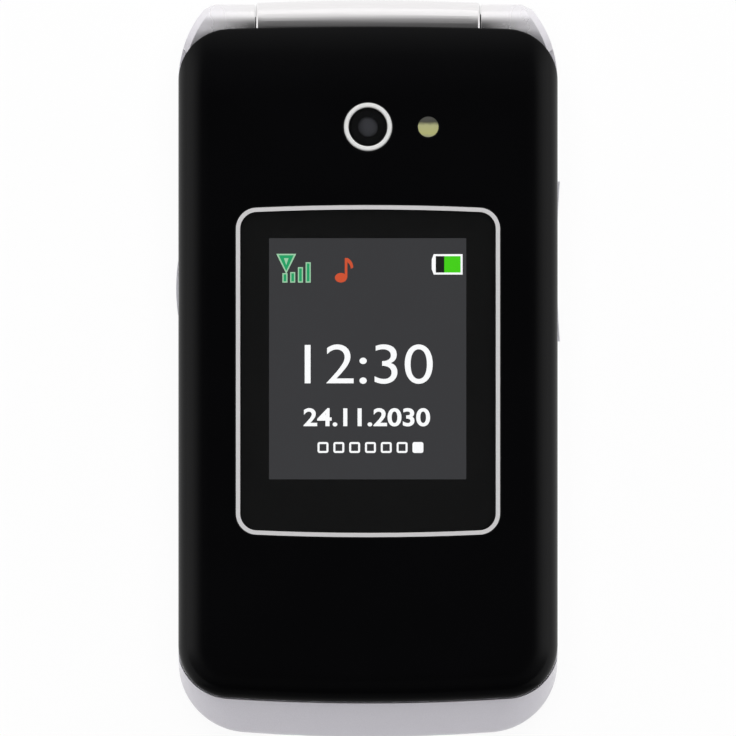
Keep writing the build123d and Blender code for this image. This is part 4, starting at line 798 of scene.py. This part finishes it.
def lettering(
    name, text, height, width, centre, bottom, thickness, material, body, slot, weight
):
    """Digits or signs of a height and width, centred on a point; weight fattens or thins them."""
    curve = bpy.data.curves.new(name, "FONT")
    curve.body = text
    curve.size = 1.0
    curve.offset = weight
    flat = mesh_of(name, curve)
    low = Vector((min(v.co.x for v in flat.vertices), min(v.co.y for v in flat.vertices), 0))
    high = Vector((max(v.co.x for v in flat.vertices), max(v.co.y for v in flat.vertices), 0))
    middle = (low + high) / 2
    size = high - low
    scale_y = height / size.y
    scale_x = width / size.x if width else scale_y
    place = Matrix.Translation((centre[0] * MM, centre[1] * MM, bottom * MM))
    stretch = Matrix.Diagonal((scale_x * MM, scale_y * MM, 1, 1))
    flat.transform(place @ stretch @ Matrix.Translation(-middle))
    thicken(flat, thickness)
    add_piece(name, flat, material, body)


def thicken(mesh, thickness):
    """Gives a flat mesh a thickness upwards."""
    work = bmesh.new()
    work.from_mesh(mesh)
    bmesh.ops.remove_doubles(work, verts=work.verts, dist=SAME_POINT)
    grown = bmesh.ops.extrude_face_region(work, geom=work.faces[:])
    lifted = [item for item in grown["geom"] if isinstance(item, bmesh.types.BMVert)]
    bmesh.ops.translate(work, verts=lifted, vec=(0, 0, thickness * MM))
    bmesh.ops.recalc_face_normals(work, faces=work.faces[:])
    work.to_mesh(mesh)
    work.free()


# ---------------------------------------------------------------- outer display
SCREEN_WIDTH = 28.05
SCREEN_LENGTH = 34.3
SCREEN_X = -0.05  # of its middle
SCREEN_Y = 1.42
SCREEN_LIFT = 0.01  # above the display panel
SCREEN_THICKNESS = 0.02
ICON_THICKNESS = 0.01  # of the clock, date and marks
PRINT_MARGIN = 0.06  # the black print ends this far inside the window's edge
PRINT_LIFT = 0.01  # above the window's underside
PRINT_THICKNESS = 0.02
FOOT_TOLERANCE = 0.01

SCREEN_GREY = (0.0425, 0.0425, 0.0450)
WHITE = (1.0, 1.0, 1.0)
BATTERY_GREEN = (0.06, 0.62, 0.01)
BATTERY_DARK = (0.012, 0.014, 0.012)
SIGNAL_GREEN = (0.02, 0.35, 0.13)
SIGNAL_RIM = (0.35, 0.62, 0.40)
NOTE_ORANGE = (0.62, 0.088, 0.035)
PRINT_BLACK = (0.0026, 0.0024, 0.0025)

CLOCK_TEXT = "12:30"
CLOCK_CENTRE = (0.1, 0.66)
CLOCK_HEIGHT = 5.6
CLOCK_WIDTH = 18.2
CLOCK_WEIGHT = -0.004
DATE_TEXT = "24.11.2030"
DATE_CENTRE = (-0.17, -6.9)
DATE_HEIGHT = 2.6
DATE_WIDTH = 18.0
DATE_WEIGHT = 0.022


def foot_outline(node, margin):
    """Outline of a convex node's underside, drawn in by a margin, in millimetres."""
    low, high = box_mm(node)
    centre = (low + high) / 2
    corners = [v.co / MM for v in nodes[node].data.vertices]
    foot = [corner for corner in corners if abs(corner.z - low.z) < FOOT_TOLERANCE]
    points = {(round(co.x, 3), round(co.y, 3)) for co in foot}
    share_x = 1 - margin / (centre.x - low.x)
    share_y = 1 - margin / (centre.y - low.y)
    around = sorted(points, key=lambda p: atan2(p[1] - centre.y, p[0] - centre.x))
    return [
        (centre.x + (x - centre.x) * share_x, centre.y + (y - centre.y) * share_y)
        for x, y in around
    ]


def make_outer_screen():
    """The lit field, its clock, date and marks, on the display panel under the window."""
    screen_z = panel_high.z + SCREEN_LIFT
    icon_z = screen_z + SCREEN_THICKNESS
    half_x = SCREEN_WIDTH / 2
    half_y = SCREEN_LENGTH / 2
    field = rectangle(
        SCREEN_X - half_x, SCREEN_Y - half_y, SCREEN_X + half_x, SCREEN_Y + half_y
    )
    lit = {"body": "lid", "slot": "display_panel"}
    grey = glowing("screen_grey", SCREEN_GREY)
    white = glowing("screen_white", WHITE)
    flat_piece("outer_screen", [field], screen_z, SCREEN_THICKNESS, grey, **lit)
    lettering(
        "screen_clock", CLOCK_TEXT, CLOCK_HEIGHT, CLOCK_WIDTH, CLOCK_CENTRE,
        icon_z, ICON_THICKNESS, white, weight=CLOCK_WEIGHT, **lit,
    )
    lettering(
        "screen_date", DATE_TEXT, DATE_HEIGHT, DATE_WIDTH, DATE_CENTRE,
        icon_z, ICON_THICKNESS, white, weight=DATE_WEIGHT, **lit,
    )
    make_week(icon_z, white, lit)
    make_signal(icon_z, lit)
    make_note(icon_z, lit)
    make_charge(icon_z, white, lit)
    # The black print in the back of the window, round the lit field
    print_black = ink("print_black", PRINT_BLACK)
    surround = foot_outline("outer_display_window", PRINT_MARGIN)
    flat_piece(
        "outer_window_print", [surround, field], window_low.z + PRINT_LIFT, PRINT_THICKNESS,
        print_black, body="lid", slot="inner_black",
    )


def make_week(base_z, white, lit):
    """Seven marks for the days of the week, with the present day's filled."""
    pitch = 2.25
    size = 1.55
    line = 0.28
    corner = 0.3
    centre_x, centre_y = 0.35, -11.2
    middle, present = 3, 6
    for day in range(7):
        x = (day - middle) * pitch + centre_x
        outer = rounded(
            x - size / 2, centre_y - size / 2, x + size / 2, centre_y + size / 2, corner
        )
        inner = rectangle(
            x - size / 2 + line, centre_y - size / 2 + line,
            x + size / 2 - line, centre_y + size / 2 - line,
        )
        outlines = [outer] if day == present else [outer, inner]
        flat_piece(f"screen_day_{day + 1}", outlines, base_z, ICON_THICKNESS, white, **lit)


def make_signal(base_z, lit):
    """Aerial with four rising bars, each part with its pale rim."""
    green = glowing("signal_green", SIGNAL_GREEN)
    rim = glowing("signal_rim", SIGNAL_RIM)
    left, right, top, bottom = -13.05, -8.15, 16.35, 12.25
    bar_width = 0.72
    rim_width = 0.17
    heights = (1.35, 1.5, 2.2, 2.9)
    pitch = 1.1
    for index, height in enumerate(heights):
        x = right - (len(heights) - 1 - index) * pitch
        outer = rectangle(x - bar_width, bottom, x, bottom + height)
        inner = rectangle(
            x - bar_width + rim_width, bottom + rim_width,
            x - rim_width, bottom + height - rim_width,
        )
        bar = f"signal_bar_rim_{index + 1}"
        flat_piece(bar, [outer, inner], base_z, ICON_THICKNESS, rim, **lit)
        flat_piece(f"signal_bar_{index + 1}", [inner], base_z, ICON_THICKNESS, green, **lit)
    dish_width = 2.84
    tip_x = left + dish_width / 2
    tip_y = bottom + 1.25
    corner_share, tip_share = 1.75, 2.0  # how far the corners and the tip move per inset

    def drawn_in(inset):
        """The aerial's triangle, smaller by this much along its top."""
        return [
            (left + corner_share * inset, top - inset),
            (tip_x, tip_y + tip_share * inset),
            (left + dish_width - corner_share * inset, top - inset),
        ]

    dish, inside, hollow = drawn_in(0.0), drawn_in(0.2), drawn_in(0.62)
    flat_piece("signal_aerial_rim", [dish, inside], base_z, ICON_THICKNESS, rim, **lit)
    flat_piece("signal_aerial", [inside, hollow], base_z, ICON_THICKNESS, green, **lit)
    flat_piece("signal_aerial_tip", [hollow], base_z, ICON_THICKNESS, rim, **lit)


def make_note(base_z, lit):
    """A music note: its head, stem and flag, each a little above the last."""
    orange = glowing("note_orange", NOTE_ORANGE)
    head_x, head_y = -3.85, 12.95
    head_half_x, head_half_y = 0.86, 0.68
    stem_x = head_x + 0.55
    stem_width = 0.36
    top = 15.75
    flag_x, flag_turn = stem_x - 0.35, 62
    outer_drop, outer_radius = 1.35, 1.55
    inner_drop, inner_radius = 1.55, 1.2
    steps = 8
    step = 0.002
    head_points = 24
    angles = [2 * pi * point / head_points for point in range(head_points)]
    head = [(head_x + head_half_x * cos(a), head_y + head_half_y * sin(a)) for a in angles]
    stem = rectangle(stem_x, head_y, stem_x + stem_width, top)
    flag = arc((flag_x, top - outer_drop), outer_radius, flag_turn, 0, steps)
    flag += arc((flag_x, top - inner_drop), inner_radius, 0, flag_turn, steps)
    flat_piece("note_head", [head], base_z, ICON_THICKNESS, orange, **lit)
    flat_piece("note_stem", [stem], base_z + step, ICON_THICKNESS, orange, **lit)
    flat_piece("note_flag", [flag], base_z + 2 * step, ICON_THICKNESS, orange, **lit)


def make_charge(base_z, white, lit):
    """Battery mark: white outline with its nub on the left, two thirds full of green."""
    green = glowing("charge_green", BATTERY_GREEN)
    dark = glowing("charge_empty", BATTERY_DARK)
    left, right, bottom, top = 9.35, 13.45, 13.4, 16.3
    line = 0.28
    nub, nub_half = 0.28, 0.72
    empty_width = 1.5
    middle = (bottom + top) / 2
    outer = [
        (left, bottom), (right, bottom), (right, top), (left, top),
        (left - nub, middle + nub_half), (left - nub, middle - nub_half),
    ]
    inner = rectangle(left + line, bottom + line, right - line, top - line)
    fill_x = left + empty_width
    full = rectangle(fill_x, bottom + line, right - line, top - line)
    empty = rectangle(left + line, bottom + line, fill_x, top - line)
    flat_piece("charge_outline", [outer, inner], base_z, ICON_THICKNESS, white, **lit)
    flat_piece("charge_full", [full], base_z, ICON_THICKNESS, green, **lit)
    flat_piece("charge_empty", [empty], base_z, ICON_THICKNESS, dark, **lit)


# ---------------------------------------------------------------- hinge barrel
BARREL_CROWN = 0.36  # the barrel's radius is this much smaller at its ends
BARREL_REACH = 0.12  # its ends come this much nearer to the ears
BARREL_STEPS = 20
BARREL_SHELL = 0.45  # depth under the round and the ends that moves, so that the bores stay
BARREL_TOLERANCE = 0.01
BARREL_SHARP = 30  # degrees


def make_barrel(material):
    """The barrel with its crown: the CAD form, cut across in steps and drawn in at its ends."""
    radius = barrel_high.y - hinge_y
    half = barrel_high.x
    work = bmesh.new()
    work.from_mesh(nodes["hinge_barrel"].data)
    for step in range(1, BARREL_STEPS):
        x = (-half + 2 * half * step / BARREL_STEPS) * MM
        everything = work.verts[:] + work.edges[:] + work.faces[:]
        bmesh.ops.bisect_plane(work, geom=everything, plane_co=(x, 0, 0), plane_no=(1, 0, 0))
    axis = Vector((0, hinge_y * MM, hinge_z * MM))
    for vertex in work.verts:
        out = vertex.co - axis
        out.x = 0
        if radius - BARREL_SHELL < out.length / MM < radius + BARREL_TOLERANCE:
            share = (vertex.co.x / (half * MM)) ** 2
            vertex.co -= out.normalized() * BARREL_CROWN * share * MM
        if half - abs(vertex.co.x) / MM < BARREL_SHELL:
            vertex.co.x += BARREL_REACH * MM * (1 if vertex.co.x > 0 else -1)
    mesh = bpy.data.meshes.new("hinge_barrel_crowned")
    work.to_mesh(mesh)
    work.free()
    for face in mesh.polygons:
        face.use_smooth = True
    mesh.set_sharp_from_angle(angle=radians(BARREL_SHARP))
    mesh.materials.clear()
    mesh.materials.append(material)
    piece = bpy.data.objects.new("hinge_barrel_crowned", mesh)
    scene.collection.objects.link(piece)
    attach(piece, "lid")
    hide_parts("hinge_barrel")


# ---------------------------------------------------------------- keypad legends
LEGEND_THICKNESS = 0.015
LEGEND_WEIGHT = 0.004
NUMBER_HEIGHT = 4.6
STAR_HEIGHT = 2.6
SOFT_BAR = (3.6, 0.5)  # width and height of the bar on a soft key
SOFT_BAR_DROP = 3.4  # below the key's upper edge
ARROW_TIP = ((6.9, 0.0), (6.0, 0.75), (6.0, -0.75))  # on the ring, outwards and across
BACK_ARROW = (  # round the clear key's middle
    (-1.5, 0.0), (-0.3, 0.9), (-0.3, 0.32), (1.5, 0.32),
    (1.5, -0.32), (-0.3, -0.32), (-0.3, -0.9),
)
OK_DOT = 0.7
HANDSET_RISE = 3.4  # above the key's lower edge


def middle_of(low, high):
    return (low.x + high.x) / 2, (low.y + high.y) / 2


def make_legends():
    """Numbers and pictograms printed on the keys."""
    white = ink("legend_white", (0.78, 0.78, 0.76))
    green = ink("legend_green", (0.05, 0.45, 0.12))
    red = ink("legend_red", (0.62, 0.03, 0.025))
    for key, text in NUMBER_KEYS.items():
        low, high = box_mm(key)
        height = STAR_HEIGHT if text == "*" else NUMBER_HEIGHT
        lettering(
            f"legend_{key}", text, height, None, middle_of(low, high), high.z,
            LEGEND_THICKNESS, white, body=key, slot="key_plastic", weight=LEGEND_WEIGHT,
        )
    half_x, half_y = SOFT_BAR[0] / 2, SOFT_BAR[1] / 2
    for key in ("soft_key_left", "soft_key_right"):
        low, high = box_mm(key)
        x = (low.x + high.x) / 2
        y = high.y - SOFT_BAR_DROP
        bar = rectangle(x - half_x, y - half_y, x + half_x, y + half_y)
        flat_piece(
            f"legend_{key}", [bar], high.z, LEGEND_THICKNESS, white, body=key, slot="key_plastic"
        )
    make_handset("call_key", green, tilt=45)
    make_handset("end_key", red, tilt=0)
    low, high = box_mm("clear_key")
    x, y = middle_of(low, high)
    arrow = [(x + across, y + along) for across, along in BACK_ARROW]
    flat_piece(
        "legend_clear_key", [arrow], high.z, LEGEND_THICKNESS, white,
        body="clear_key", slot="key_plastic",
    )
    dark = ink("legend_dark", (0.02, 0.02, 0.022))
    for index in range(4):
        angle = index * pi / 2
        tip = []
        for along, across in ARROW_TIP:
            x = along * cos(angle) - across * sin(angle)
            y = along * sin(angle) + across * cos(angle)
            tip.append((x, nav_y + y))
        flat_piece(
            f"legend_arrow_{index + 1}", [tip], nav_high.z, LEGEND_THICKNESS, dark,
            body="navigation_ring", slot="key_plastic",
        )
    ok_high = box_mm("ok_key")[1]
    flat_piece(
        "legend_ok_key", [disc((0, nav_y), OK_DOT)], ok_high.z, LEGEND_THICKNESS, white,
        body="ok_key", slot="key_plastic",
    )


def make_handset(key, material, tilt):
    """A telephone handset, turned by this many degrees: its grip and its two ends."""
    low, high = box_mm(key)
    centre = Vector(((low.x + high.x) / 2, low.y + HANDSET_RISE))
    outer, inner = 2.3, 1.45
    start, end = 25, 155
    pad_x, pad_half, pad_low, pad_high, pad_corner = 1.85, 0.62, 0.05, 1.25, 0.25
    shift = Vector((0, -1.2))  # puts the turning point in the middle of the handset
    step = 0.001  # each part lies this much above the last
    steps = 14
    outlines = [arc((0, 0), outer, start, end, steps) + arc((0, 0), inner, end, start, steps)]
    for x in (-pad_x, pad_x):
        outlines.append(rounded(x - pad_half, pad_low, x + pad_half, pad_high, pad_corner))
    angle = radians(tilt)
    for index, outline in enumerate(outlines):
        points = []
        for x, y in outline:
            px, py = x + shift.x, y + shift.y
            points.append((
                centre.x + px * cos(angle) - py * sin(angle),
                centre.y + px * sin(angle) + py * cos(angle),
            ))
        flat_piece(
            f"legend_{key}_{index + 1}", [points], high.z + step * index, LEGEND_THICKNESS,
            material, body=key, slot="key_plastic",
        )


# ---------------------------------------------------------------- the scene
scene.view_settings.view_transform = "Standard"
make_camera()
make_world()
make_lamps()
make_floor()
barrel_metal = dress_nodes()
make_barrel(barrel_metal)
make_outer_screen()
make_legends()
